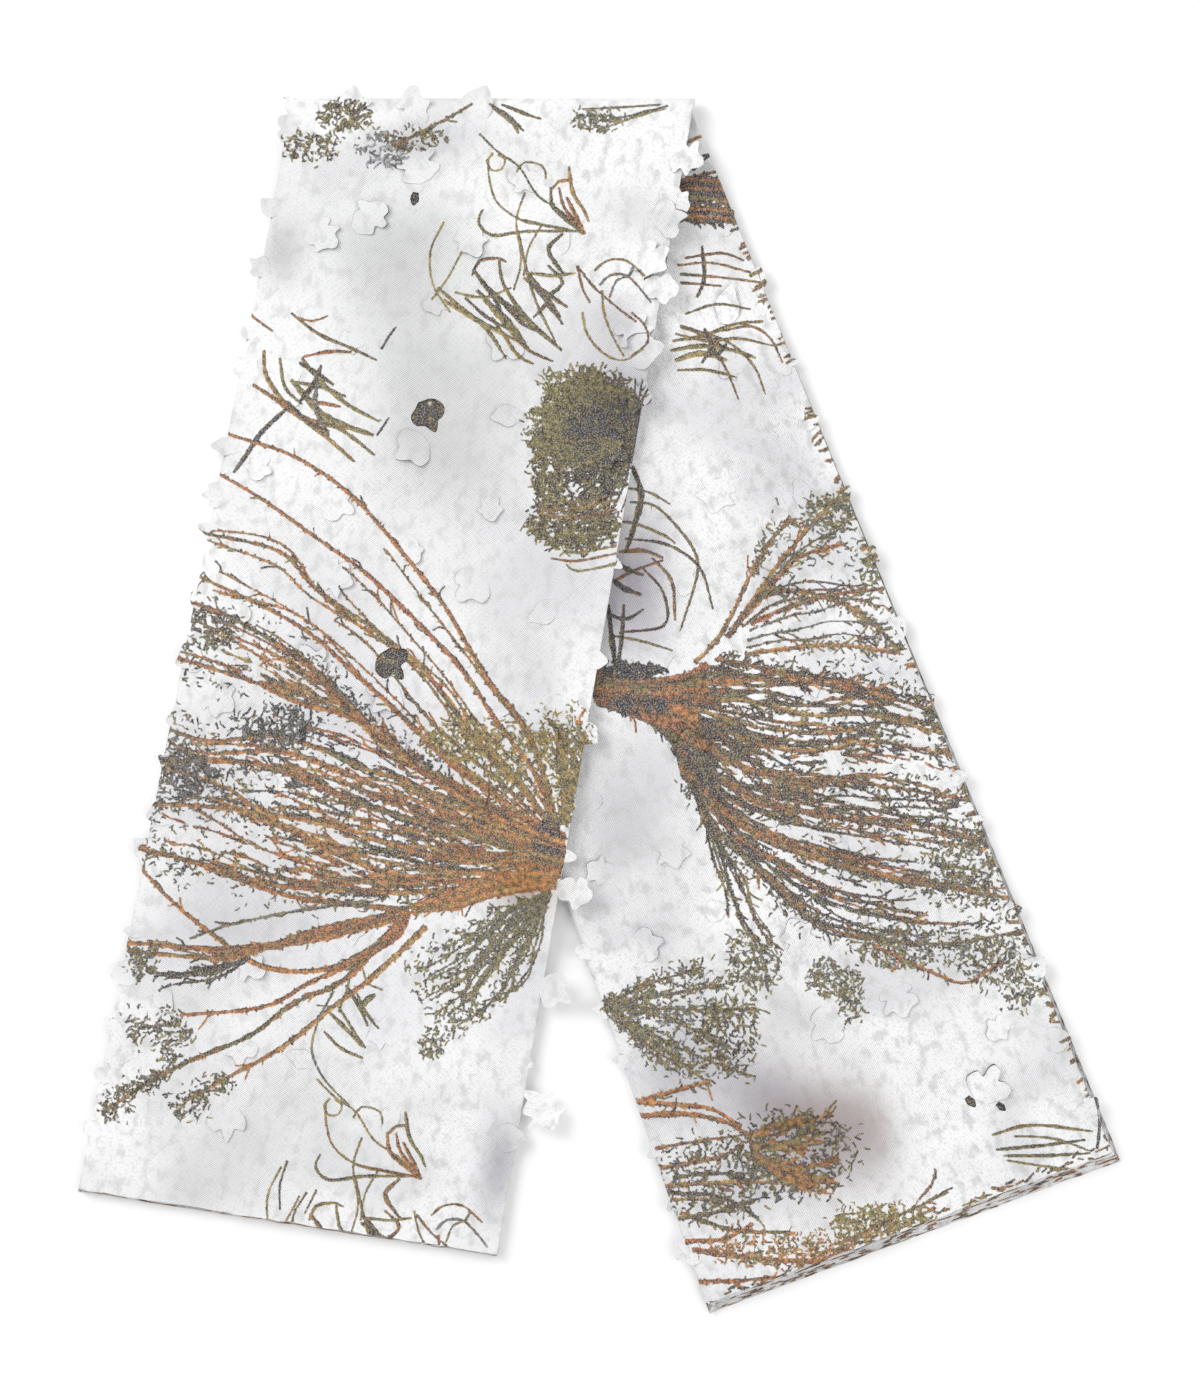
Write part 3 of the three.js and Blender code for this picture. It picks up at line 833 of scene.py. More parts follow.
def great_brush(ink):
    """The big orange brush that fans from the front leg's right edge to its left edge."""
    root = (-30, -116)
    high = [
        [root, (-47, -51), (-62, -15), (-86, 15), (-103, 42), (-128, 84), (-162, 127), (-203, 173),
         (-250, 205), (-300, 222), (-322, 230)],
        [root, (-52, -56), (-84, -12), (-112, 30), (-146, 66), (-190, 108), (-230, 137), (-278, 171),
         (-318, 194), (-336, 202)],
        [root, (-60, -70), (-104, -24), (-140, 25), (-180, 60), (-232, 96), (-262, 127), (-322, 142),
         (-350, 150)],
        [root, (-74, -81), (-118, -50), (-165, -5), (-197, 24), (-246, 66), (-318, 102), (-352, 116)],
    ]
    ink.stems(high, 4.6, 2.0, ORANGE, CHARCOAL, 0.35)
    ink.fan(high, 8, 2.8, 1.3, ORANGE, BARK, 0.5, 4.0, (0.6, 1.0))
    low = [
        [root, (-49, -106), (-111, -76), (-153, -46), (-187, -19), (-216, 15), (-246, 40), (-300, 72),
         (-330, 84), (-358, 92)],
        [root, (-98, -81), (-148, -51), (-182, -22), (-209, -7), (-251, 5), (-283, 20), (-345, 40),
         (-368, 48)],
        [root, (-70, -98), (-123, -76), (-160, -61), (-197, -49), (-231, -34), (-271, -24), (-320, -28),
         (-360, -16)],
        [root, (-84, -112), (-140, -96), (-196, -78), (-250, -56), (-300, -44), (-362, -46)],
        [(-34, -128), (-90, -128), (-150, -118), (-210, -100), (-271, -88), (-332, -81), (-374, -80)],
        [(-36, -136), (-92, -142), (-135, -142), (-184, -133), (-221, -116), (-271, -91), (-307, -66),
         (-356, -50)],
        [(-38, -140), (-100, -148), (-160, -152), (-221, -150), (-271, -145), (-320, -130), (-374, -118)],
    ]
    for path in map(curve, low):
        ink.fuzz(path, (4, 20), 260, OLIVE + GREY + BARK, 5.5, 0.7)
        ink.fuzz(path, (6, 14), 150, CHARCOAL + BARK, 5.0, 0.9)
    ink.cloud((-92, -92), (62, 28), 300, OLIVE + RUST + BARK, 5.5, 0.8, heading=150, open_up=1.0)
    ink.fan(low, 40, 2.6, 1.3, CHARCOAL + BARK, CHARCOAL, 0.8, 3.5, (0.35, 0.9))
    ink.fan(low, 46, 2.6, 1.3, ORANGE, CHARCOAL, 0.7, 3.5, (0.4, 1.0))
    core = [
        [(-28, -100), (-60, -84), (-100, -66), (-140, -44)],
        [(-28, -120), (-64, -110), (-104, -92), (-150, -70)],
        [(-32, -138), (-70, -138), (-110, -142), (-150, -150)],
    ]
    ink.fan(core, 16, 4.6, 2.4, ORANGE, BARK, 0.8, 1.5, (0.7, 1.0))
    ink.cloud((-170, -50), (34, 16), 230, CHARCOAL + BARK, 5.0, 1.0, heading=150)
    ink.gaps(low, 190, 2.8, 9, (0.04, 0.9))
    ink.gaps(low, 60, 5.0, 14, (0.2, 0.9))
    ink.gaps(low[:4], 26, 6.0, 16, (0.3, 0.85))
    for path in map(curve, low[2:]):
        ink.fuzz(path, (6, 18), 90, OLIVE + GREY, 5.0, 0.8)
    ink.stems(low, 4.6, 2.4, ORANGE, CHARCOAL, 0.6)
    ink.fan(low, 16, 2.8, 1.3, ORANGE, CHARCOAL, 0.6, 3.0, (0.6, 1.0))
    ink.cloud((-40, -118), (12, 26), 200, CHARCOAL + BARK, 6.0, 1.1, heading=160, open_up=0.8)
    ink.fan(core, 7, 4.2, 2.2, ORANGE, BARK, 0.5, 1.5, (0.7, 1.0))
    ink.cloud((-262, -14), (34, 18), 150, GREY + CHARCOAL, 8.0, 1.0, heading=250, open_up=1.2)
    ink.cloud((-338, -54), (24, 26), 230, GREY + BARK, 6.0, 0.9, heading=150, open_up=1.4)
    ink.cloud((-318, 62), (22, 18), 150, GREY + OLIVE + BARK, 6.0, 0.9, heading=150, open_up=1.4)
    # olive spray above the root
    spray = [
        [(-32, -96), (-30, -66), (-40, -32), (-58, -6)],
        [(-30, -96), (-24, -60), (-22, -28), (-34, -4)],
        [(-28, -96), (-18, -60), (-10, -30), (-14, -2)],
    ]
    ink.fan(spray, 16, 1.8, 1.0, OLIVE + ORANGE, GREY, 0.8, 2.0)
    for path in map(curve, spray):
        ink.fuzz(path, (6, 14), 150, OLIVE + STRAW, 5.0, 0.7)
    ink.cloud((-112, -28), (34, 18), 280, OLIVE + STRAW, 5.0, 0.8, heading=120)
    ink.cloud((-66, -44), (44, 30), 360, OLIVE + STRAW, 5.0, 0.8, heading=110)


def lower_fork(ink):
    """The second fork of the big brush, low on the front leg, and its leafy tips."""
    fork = (-157, -167)
    trunk = [
        [(-34, -134), (-90, -140), (-122, -152), fork],
        [(-36, -146), (-90, -154), (-120, -164), fork],
    ]
    ink.fan(trunk, 16, 6.0, 5.0, ORANGE, RUST, 0.4, 1.0, (0.95, 1.0))
    stems = [
        [fork, (-171, -175), (-234, -191), (-296, -198), (-351, -196), (-392, -193)],
        [fork, (-180, -172), (-236, -184), (-300, -206), (-345, -204), (-388, -200)],
        [fork, (-166, -182), (-207, -209), (-244, -217), (-283, -210), (-326, -180), (-354, -156),
         (-380, -128)],
        [fork, (-164, -186), (-194, -206), (-239, -227), (-276, -246), (-344, -253)],
        [fork, (-207, -222), (-249, -242), (-286, -269), (-335, -290), (-370, -308), (-406, -332)],
        [(-142, -180), (-181, -217), (-221, -248), (-260, -279), (-309, -306), (-341, -324)],
        [fork, (-200, -162), (-250, -156), (-300, -140), (-344, -124), (-378, -116)],
    ]
    ink.stems(stems, 5.0, 2.2, ORANGE, BARK, 0.45)
    ink.fan(stems[:2], 6, 2.8, 1.6, ORANGE + RUST, CHARCOAL, 0.7, 2.0)
    tips = [
        [(-286, -206), (-320, -214), (-372, -218)],
        [(-286, -206), (-318, -224), (-366, -232)],
    ]
    ink.fan(tips, 6, 2.4, 1.2, GREY + BARK, CHARCOAL, 1.0, 1.5)
    dark = [(-190, -160), (-240, -166), (-300, -178), (-336, -190)]
    ink.stem(curve(dark), 2.4, 1.4, BARK + OLIVE, GREY, 0.6)
    for path, spread, count in (
        (((-344, -253), (-372, -262), (-386, -268)), (8, 12), 120),
        (((-335, -262), (-356, -280), (-346, -296)), (8, 10), 110),
        (((-356, -300), (-384, -314), (-408, -334)), (6, 12), 190),
        (((-304, -302), (-330, -320), (-346, -332)), (7, 12), 170),
        (((-360, -196), (-380, -206), (-372, -220)), (7, 12), 130),
    ):
        ink.fuzz(curve(path), spread, count, OLIVE + BARK + GREY, 4.5, 0.8)


def back_print():
    """The brush, grass and twigs on the back leg's top ply."""
    ink = Print(BACK, PLIES, 32)
    # grass beside the front leg, high up
    ink.blades([
        (2.6, (60, 300), (84, 304), (112, 314), (134, 316)),
        (2.0, (62, 306), (88, 300), (114, 302), (142, 296)),
        (3.6, (58, 292), (84, 296), (110, 292), (128, 286)),
        (4.2, (62, 284), (84, 290), (104, 284)),
        (3.4, (66, 312), (84, 306), (100, 296)),
        (1.8, (78, 308), (104, 300), (126, 280), (136, 256)),
        (1.8, (70, 322), (96, 330), (124, 326)),
        (1.6, (92, 296), (104, 276), (114, 252)),
        (1.6, (100, 308), (124, 312), (140, 302), (150, 282)),
        (2.2, (64, 276), (88, 276), (112, 270)),
    ], OLIVE + STRAW + RUST, BARK)
    ink.strips([
        ((64, 362), (92, 364), (124, 356)),
        ((66, 355), (100, 352), (132, 348)),
        ((66, 348), (100, 345)),
        ((70, 368), (100, 372), (118, 366)),
    ], 1.8, 1.2, RUST + OLIVE, 0.3)
    ink.blades([
        (3.0, (86, 310), (92, 296), (98, 284)),
        (3.0, (96, 304), (90, 292), (84, 282)),
        (3.0, (104, 298), (98, 290), (88, 288)),
        (3.0, (80, 336), (86, 352), (84, 378)),
    ], CHARCOAL, BARK)
    for x, y in ((60, 452), (76, 440), (84, 424), (92, 408)):
        ink.strip(curve([(x, y), (x + 14, y + 12), (x + 24, y + 16)]), 2.2, 1.6, RUST + BARK, 0.4)
        lower = [(x - 4, y - 6), (x + 16, y - 2), (x + 34, y + 2)]
        ink.strip(curve(lower), 1.8, 1.4, RUST + CHARCOAL, 0.4)
    ink.cloud((80, 424), (26, 10), 260, CHARCOAL + BARK, 8.0, 1.6, heading=0, open_up=0.4)
    ink.cloud((90, 404), (26, 8), 200, CHARCOAL + BARK + GREY, 8.0, 1.4, heading=-10, open_up=0.4)
    for y in (431, 424, 416, 408, 401):
        ink.stem(curve([(58, y), (84, y + 1), (118, y - 3)]), 3.4, 2.6, ORANGE, CHARCOAL, 0.5)
    brown_ends(ink)
    # curved blades in the front leg's shadow
    ink.blades([
        (1.9, (25, 168), (45, 165), (64, 147), (78, 127), (80, 108), (66, 62)),
        (1.9, (21, 138), (55, 133), (82, 114), (93, 80)),
        (1.9, (36, 113), (52, 94), (53, 67), (16, 61)),
        (2.2, (43, 122), (59, 103), (62, 71)),
        (1.6, (18, 180), (40, 176), (58, 166)),
        (3.0, (16, 127), (36, 128), (52, 122)),
        (2.2, (11, 103), (32, 113), (52, 120)),
        (1.6, (12, 58), (34, 54), (60, 46)),
        (2.0, (14, 152), (30, 150), (54, 140), (62, 134)),
    ], OLIVE + BARK + RUST, CHARCOAL)
    ink.blades([
        (4.6, (27, 197), (34, 174), (28, 147), (21, 126)),
        (4.0, (7, 84), (10, 56), (14, 26)),
        (3.0, (20, 84), (18, 56), (14, 28)),
        (4.2, (8, 106), (22, 96), (34, 92)),
        (3.6, (8, 122), (24, 112), (36, 108)),
        (2.4, (6, 76), (22, 72), (36, 80)),
    ], CHARCOAL, BARK)
    dark_brush(ink)
    # what the front leg hides until the bundle is opened
    grass_motif(ink, (-90, 0))
    # olive twigs at the left edge
    for tip in ((83, -215), (128, -247), (122, -302), (92, -311), (64, -293), (110, -226), (108, -280)):
        root = (4, -244)
        middle = ((root[0] + tip[0]) / 2, (root[1] + tip[1]) / 2 + ink.rng.uniform(-8, 8))
        path = curve([root, middle, tip])
        ink.stem(path, 1.9, 1.1, OLIVE + RUST, BARK, 1.0)
        ink.fuzz(path, (4, 11), 150, OLIVE + GREY, 5.0, 0.8)
    ink.cloud((104, -268), (26, 30), 260, OLIVE + BARK, 5.0, 0.8, heading=300)
    # orange stems at the lower left, with a leafy crown
    for points, width in (
        (((30, -324), (58, -316), (90, -307)), 4.6),
        (((30, -324), (60, -326), (92, -330), (116, -344)), 4.6),
        (((28, -336), (73, -334), (113, -345), (131, -369)), 5.0),
        (((49, -378), (98, -369), (118, -358)), 3.8),
        (((52, -393), (94, -390), (140, -390)), 3.6),
        (((66, -415), (110, -429), (155, -431)), 4.0),
        (((70, -438), (101, -436), (126, -424)), 3.8),
        (((76, -445), (119, -451), (180, -454), (200, -442)), 4.4),
        (((80, -472), (119, -470), (166, -466)), 3.6),
        (((46, -362), (80, -356), (112, -352)), 2.6),
        (((60, -404), (92, -404), (112, -414)), 2.6),
    ):
        ink.stem(curve(points), width, 0.5 * width, ORANGE, BARK, 0.7)
    ink.stems([
        ((54, -398), (100, -402), (130, -420)),
        ((60, -386), (96, -382), (124, -388)),
        ((64, -420), (96, -414), (128, -404)),
    ], 3.4, 1.8, CHARCOAL + BARK, BARK, 1.2)
    ink.cloud((160, -366), (46, 34), 620, OLIVE + BARK + GREY, 5.5, 0.8)
    crown = [
        [(120, -350), (150, -340), (190, -330)],
        [(124, -362), (160, -362), (204, -352)],
        [(128, -372), (160, -392), (204, -396)],
    ]
    ink.fan(crown, 16, 2.4, 1.2, ORANGE + RUST, OLIVE, 1.5, 2.0, (0.6, 1.0))
    ink.cloud((96, -384), (46, 34), 380, OLIVE + GREY + BARK, 5.0, 0.8)
    ink.cloud((234, -424), (48, 16), 360, OLIVE + STRAW, 5.0, 0.8, heading=20)
    ink.cloud((150, -446), (66, 14), 320, OLIVE + ORANGE, 5.0, 0.8, heading=10)
    ink.stem(curve([(196, -440), (240, -420), (286, -398)]), 2.4, 1.4, RUST, OLIVE, 1.2)
    ink.stem(curve([(262, -404), (272, -392), (276, -380)]), 2.2, 1.4, RUST, OLIVE, 0.6)
    # grass at the lower right corner
    ink.blades([
        (2.4, (322, -351), (355, -343), (404, -348)),
        (2.4, (325, -363), (360, -360), (398, -355)),
        (2.2, (331, -368), (362, -368), (402, -366)),
        (1.6, (340, -352), (372, -354), (402, -364)),
        (1.6, (334, -372), (360, -376), (388, -380)),
    ], STRAW + OLIVE, CHARCOAL)
    ink.strip(curve([(404, -312), (410, -336), (408, -362)]), 2.0, 2.0, CHARCOAL)
    return ink


def brown_ends(ink):
    """Stem ends that the folds show along the back leg's right-hand edge and at its hem."""
    rng = ink.rng
    edge = BACK.edges(PLIES)[1]
    length = np.linalg.norm(BACK.end_corners(PLIES)[1] - edge[0])
    down = 66 * MM
    while down < length:
        reach = rng.uniform(3, 11) * MM
        way = edge[2] + edge[1] * rng.uniform(-0.5, 0.5)
        for offset in rng.uniform(-3, 3, rng.integers(1, 4)) * MM:
            start = edge[0] + edge[1] * (down + offset)
            ends = np.array([start - way * 4 * MM, start + way * reach * rng.uniform(0.6, 1)])
            ink.stem(ends, rng.uniform(1.6, 3), 1.4, RUST + OLIVE + ORANGE[:2], CHARCOAL, 0.8)
        down += rng.choice([7, 11, 16, 42], p=[0.35, 0.35, 0.2, 0.1]) * MM
    left, right = BACK.end_corners(PLIES)
    for share in np.arange(0.05, 0.97, 0.011):
        place = left + (right - left) * share - BACK.down * rng.uniform(1, 7) * MM
        way = BACK.across * rng.uniform(0.6, 1) + BACK.down * rng.uniform(-0.6, 0.6)
        if rng.random() < 0.7:
            ends = np.array([place, place + way * rng.uniform(5, 12) * MM])
            ink.strip(ends, 1.8, 1.2, OLIVE + RUST + BARK, 0.5)


def dark_brush(ink):
    """The dark-stemmed brush that fans across the back leg from its left edge."""
    trunk = [
        [(-6, 30), (25, 22), (71, 27), (96, 46)],
        [(-6, 20), (30, 14), (70, 16), (104, 22)],
        [(-4, 8), (36, 0), (66, 2), (96, -12)],
        [(0, 4), (36, -10), (56, -22), (84, -40)],
    ]
    tops = [
        [(78, 36), (101, 62), (124, 108), (142, 138), (158, 154)],
        [(105, 57), (135, 101), (158, 131), (175, 150), (193, 168), (208, 171)],
        [(105, 57), (138, 96), (163, 122), (200, 134)],
        [(107, 62), (133, 90), (163, 95), (198, 85), (221, 71), (246, 46)],
        [(124, 68), (151, 80), (186, 91), (232, 97)],
        [(119, 43), (165, 49), (202, 50), (246, 44)],
    ]
    lower = [
        [(96, 40), (139, 30), (175, 20), (211, 13), (266, 0)],
        [(71, 20), (116, 22), (170, 22), (207, 18), (280, -6)],
        [(70, 7), (128, 4), (175, -7), (221, -7), (290, -24)],
        [(64, -3), (105, -21), (151, -35), (190, -34), (221, -28), (292, -40)],
        [(54, -12), (96, -40), (151, -58), (198, -60), (300, -76)],
        [(60, -30), (110, -66), (170, -86), (240, -98), (330, -112)],
        [(66, -50), (119, -100), (200, -130), (271, -146), (346, -158)],
        [(72, -60), (100, -105), (137, -140), (180, -178), (225, -190), (283, -194), (346, -184)],
    ]
    hanging = [
        [(73, -60), (89, -120), (98, -160), (113, -217)],
        [(76, -60), (100, -126), (116, -175), (137, -199)],
        [(80, -60), (98, -105), (125, -151), (149, -190), (180, -212)],
    ]
    for guide in tops:
        ink.fuzz(curve(guide[-3:]), (4, 12), 90, GREY + OLIVE, 5.0, 0.8)
        ink.stem(curve(guide), 3.6, 2.2, ORANGE + RUST, CHARCOAL, 0.8)
    ink.fan(tops[1:], 7, 2.0, 1.2, RUST + GREY, CHARCOAL, 0.9, 2.5, (0.8, 1.0))
    ink.cloud((190, 158), (24, 14), 170, GREY + OLIVE, 5.0, 0.9)
    ink.cloud((222, 122), (16, 18), 70, GREY + OLIVE, 5.0, 0.8)
    for path in map(curve, lower):
        ink.fuzz(path, (6, 18), 230, GREY + OLIVE + BARK, 5.5, 0.7)
        ink.fuzz(path, (6, 12), 120, CHARCOAL + BARK, 5.5, 0.9)
    ink.fan(lower, 44, 2.2, 1.2, CHARCOAL + BARK, CHARCOAL, 0.8, 3.0, (0.4, 1.0))
    ink.fan(lower, 44, 2.3, 1.2, RUST + BARK + ORANGE[:2], CHARCOAL, 0.8, 3.0, (0.5, 1.0))
    shade = [
        [(30, 0), (60, -30), (90, -80), (120, -120)],
        [(44, 4), (80, -24), (130, -70), (190, -110)],
        [(60, 4), (100, -10), (150, -30), (200, -50)],
    ]
    ink.fan(shade, 24, 3.0, 1.5, CHARCOAL + BARK, CHARCOAL, 0.8, 2.0, (0.5, 1.0))
    ink.gaps(lower, 150, 2.8, 9, (0.06, 0.9))
    ink.gaps(lower, 60, 4.6, 14, (0.2, 0.9))
    ink.gaps(lower[:5], 30, 6.5, 16, (0.28, 0.85))
    ink.stems(lower, 3.2, 1.6, ORANGE + RUST, CHARCOAL, 0.8)
    ink.fan(lower, 14, 2.0, 1.1, ORANGE + BARK, CHARCOAL, 0.7, 3.0, (0.6, 1.0))
    for path in map(curve, lower[2:]):
        ink.fuzz(path, (5, 16), 80, GREY + CHARCOAL + OLIVE, 5.0, 0.8)
    ink.fan(shade, 9, 2.6, 1.3, RUST + CHARCOAL, CHARCOAL, 0.8, 2.0, (0.5, 1.0))
    ink.fan(hanging, 7, 2.0, 1.2, RUST + BARK + OLIVE, CHARCOAL, 0.6, 2.0, (0.75, 1.0))
    ink.fan(trunk, 18, 8.5, 5.0, RUST + ORANGE, CHARCOAL, 0.4, 1.0, (0.8, 1.0))
    ink.cloud((22, 30), (26, 7), 90, CHARCOAL, 7.0, 2.2, heading=0, open_up=0.5)
    ink.cloud((30, 2), (26, 7), 80, CHARCOAL + BARK, 7.0, 1.8, heading=-30, open_up=0.5)
    for centre, radii, count in (
        ((120, -206), (14, 26), 150),
        ((136, -210), (12, 20), 90),
        ((186, -222), (16, 16), 130),
        ((206, -236), (10, 24), 110),
        ((300, -130), (36, 34), 330),
        ((322, -206), (30, 20), 210),
        ((344, -230), (18, 18), 110),
        ((250, -196), (44, 18), 230),
    ):
        ink.cloud(centre, radii, count, GREY + OLIVE, 5.0, 0.8, heading=290)
    ink.stems([((225, -196), (271, -217), (301, -226), (330, -208))], 2.8, 1.6, ORANGE, CHARCOAL, 0.8)


def under_print(leg, ply, holes):
    """Brush that shows on a lower ply: at the hem, along the right-hand fold and through the holes."""
    ink = Print(leg, ply, 100 + ply + (20 if leg is FRONT else 0))
    left, right = leg.end_corners(ply)
    edge = leg.edges(ply)[1]
    rng = ink.rng
    for _ in range(26):
        start = left + (right - left) * rng.uniform(0.02, 0.98)
        way = -leg.down * rng.uniform(0.2, 1.0) + leg.across * rng.uniform(-1, 1)
        ends = np.array([start + leg.down * 6 * MM, start + way * 26 * MM])
        ink.stem(ends, rng.uniform(1.5, 4), 1.5, ORANGE + RUST, CHARCOAL, 1.0)
    for share in np.arange(0.04, 0.99, 0.018):
        place = edge[0] + edge[1] * share * 0.95 + edge[2] * rng.uniform(-2, 10) * MM
        if rng.random() < 0.75:
            way = edge[2] * rng.uniform(0.5, 1.0) + edge[1] * rng.uniform(-0.6, 0.6)
            ends = np.array([place - way * 9 * MM, place + way * 16 * MM])
            ink.stem(ends, rng.uniform(1.5, 4.5), 2, ORANGE + RUST + OLIVE, BARK, 0.6)
    if leg is FRONT and ply == 1:
        # its underside comes on top when the bundle is opened
        lower_fork(ink)
        grass_motif(ink, (-20, -210))
        grass_motif(ink, (-62, 0))
    if ply == PLIES - 1:
        for leaf in holes:
            for count, colours, size in ((90, RUST + BARK + OLIVE, 9.0), (60, CHARCOAL, 8.0)):
                heading = rng.uniform(0, 180)
                ink.cloud(leaf.centre() / MM, (17, 17), count, colours, size, 1.6, heading, 0.8)
    return ink


# --- painted shade on the snow ----------------------------------------------------------------------

# centre and radii in millimetres, turn in degrees, colour and strength
# soft patches on the front leg: painted shade, such as the grey along the crease and the left-hand fold,
# mixed with the print's own grey and brown tones
FRONT_PAINTED_SHADE_AND_TONE = [
    ((-120, 240), (190, 240), 20, "b9babb", 0.34),
    ((-250, -160), (170, 260), -10, "bdbdc1", 0.3),
    ((-150, 462), (90, 24), 10, "8f8f98", 0.42),
    ((-245, 400), (40, 60), 0, "a9a9b0", 0.25),
    ((-160, 350), (70, 100), 10, "aeb1ae", 0.45),
    ((-262, 372), (22, 34), 0, "8c8788", 0.4),
    ((20, 255), (48, 46), 0, "8d8a93", 0.5),
    ((12, 320), (24, 24), 0, "a19ca6", 0.4),
    ((60, 395), (26, 60), 80, "9c9a9f", 0.35),
    ((-120, 205), (70, 60), 20, "a4a4a4", 0.3),
    ((-20, 120), (60, 90), 60, "b9b9c2", 0.3),
    ((-230, 90), (90, 50), 140, "b3b3b9", 0.3),
    ((-200, -10), (120, 60), 160, "b0b0b8", 0.3),
    ((-330, -60), (60, 70), 0, "a8a6ac", 0.4),
    ((-60, -150), (40, 30), 0, "8a6a4c", 0.55),
    ((-300, -185), (110, 34), 10, "adadb6", 0.35),
    ((-260, -340), (80, 60), 30, "b5b6b8", 0.3),
    ((-320, -400), (90, 44), -8, "b3b3b3", 0.3),
    ((-84, -378), (26, 66), -10, "8f8c98", 0.55),
    ((-60, -230), (40, 70), -10, "a9a8b2", 0.35),
    ((-180, -250), (70, 60), 0, "bcbcc4", 0.25),
]
# soft patches on the back leg: painted shade and shadow, mixed with the print's own grey and brown tones
BACK_PAINTED_SHADE_AND_TONE = [
    # painted shadow of the front leg beside its right-hand edge
    ((30, 110), (40, 90), -14, "7f7a86", 0.6),
    ((44, 60), (44, 40), 30, "8c8390", 0.3),
    ((96, 380), (50, 70), 60, "9b9aa2", 0.3),
    ((60, 255), (40, 50), 70, "b0b0b8", 0.35),
    ((10, -60), (66, 80), 60, "a3a3a8", 0.4),
    ((20, -120), (50, 40), 0, "98989c", 0.3),
    ((230, 30), (80, 60), 0, "b6b6bf", 0.35),
    ((210, -120), (120, 60), -30, "a6a5ad", 0.4),
    ((60, -300), (70, 60), 60, "94929c", 0.5),
    ((150, -330), (90, 50), -30, "8f8a95", 0.55),
    ((180, -352), (70, 50), -40, "9a8a88", 0.5),
    ((206, -336), (44, 40), -50, "988781", 0.4),
    ((226, -350), (20, 44), 10, "a39794", 0.35),
    ((110, -400), (90, 50), 20, "99969f", 0.45),
    ((150, -240), (80, 22), -35, "a2a2a2", 0.35),
    ((300, -215), (60, 30), 20, "a9a7ae", 0.35),
    ((340, -290), (50, 50), 0, "c3c3c9", 0.25),
]


def painted_shade_and_tone(places, shade_and_tone_patches):
    """Painted shade and tone at each place: colour and strength of the soft patches laid over each other."""
    colour = np.ones((len(places), 3))
    strength = np.zeros(len(places))
    for (x, y), (rx, ry), turn, tone, amount in shade_and_tone_patches:
        d = places - np.array([x, y]) * MM
        c, s = math.cos(math.radians(turn)), math.sin(math.radians(turn))
        u, v = (d[:, 0] * c + d[:, 1] * s) / (rx * MM), (-d[:, 0] * s + d[:, 1] * c) / (ry * MM)
        here = min(1.45 * amount, 1) * np.exp(-1.2 * (u * u + v * v))
        colour = colour * (1 - here[:, None]) + linear(tone) * here[:, None]
        strength = 1 - (1 - strength) * (1 - here)
    return np.column_stack([colour, strength])


# --- cutting and laying a ply ------------------------------------------------------------------------


def in_polygon(places, polygon):
    """Which places lie inside a polygon, by counting the edges that a line to the right crosses."""
    odd = np.zeros(len(places), bool)
    x, y = places.T
    for (x0, y0), (x1, y1) in zip(polygon, np.roll(polygon, -1, axis=0)):
        if y0 == y1:
            continue
        crosses = (y0 > y) != (y1 > y)
        odd ^= crosses & (x < x0 + (y - y0) * (x1 - x0) / (y1 - y0))
    return odd


def staggered(low, high, pitch):
    """Points in staggered rows that fill a box."""
    rows = np.arange(low[1], high[1], pitch * 0.866)
    columns = np.arange(low[0], high[0], pitch)
    x, y = np.meshgrid(columns, rows)
    x[1::2] += pitch / 2
    return np.column_stack([x.ravel(), y.ravel()])


def cut(outline, points, leaves, holes):
    """Cuts a sheet, its leaves and its holes into triangles.

    Returns the places, the triangles and each triangle's leaf, which is -1 on the sheet.
    """
    outlines = [np.array(outline), *(leaf.outline() for leaf in leaves), *holes]
    verts, faces = [], []
    for shape in outlines:
        faces.append(list(range(len(verts), len(verts) + len(shape))))
        verts.extend(Vector(p) for p in shape.tolist())
    verts.extend(Vector(p) for p in points.tolist())
    found = delaunay_2d_cdt(verts, [], faces, 0, 1e-7, False)
    places = np.array([p[:] for p in found[0]])
    triangles = np.array(found[2])
    centres = places[triangles].mean(axis=1)
    leaf_of = np.full(len(triangles), -2)
    leaf_of[in_polygon(centres, outlines[0])] = -1
    for i, shape in enumerate(outlines[1:]):
        low, high = shape.min(0), shape.max(0)
        close = np.flatnonzero((centres > low).all(1) & (centres < high).all(1))
        within = close[in_polygon(centres[close], shape)]
        leaf_of[within] = i if i < len(leaves) else -2
    kept = leaf_of > -2
    return places, triangles[kept], leaf_of[kept]


def free_leaves(places, triangles, leaf_of, leaves):
    """Splits the leaves from the sheet along their cuts, leaving them joined at the root.

    Returns the place that each new vertex comes from, its leaf, and the new triangles.
    """
    corner_leaf = np.repeat(leaf_of, 3)
    corner_vert = triangles.ravel()
    for i, leaf in enumerate(leaves):
        on = np.flatnonzero(corner_leaf == i)
        along, _ = leaf.local(places[corner_vert[on]])
        corner_leaf[on[along < 1e-6]] = -1
    keys, new = np.unique(corner_vert * (len(leaves) + 1) + corner_leaf + 1, return_inverse=True)
    return keys // (len(leaves) + 1), keys % (len(leaves) + 1) - 1, new.reshape(-1, 3)


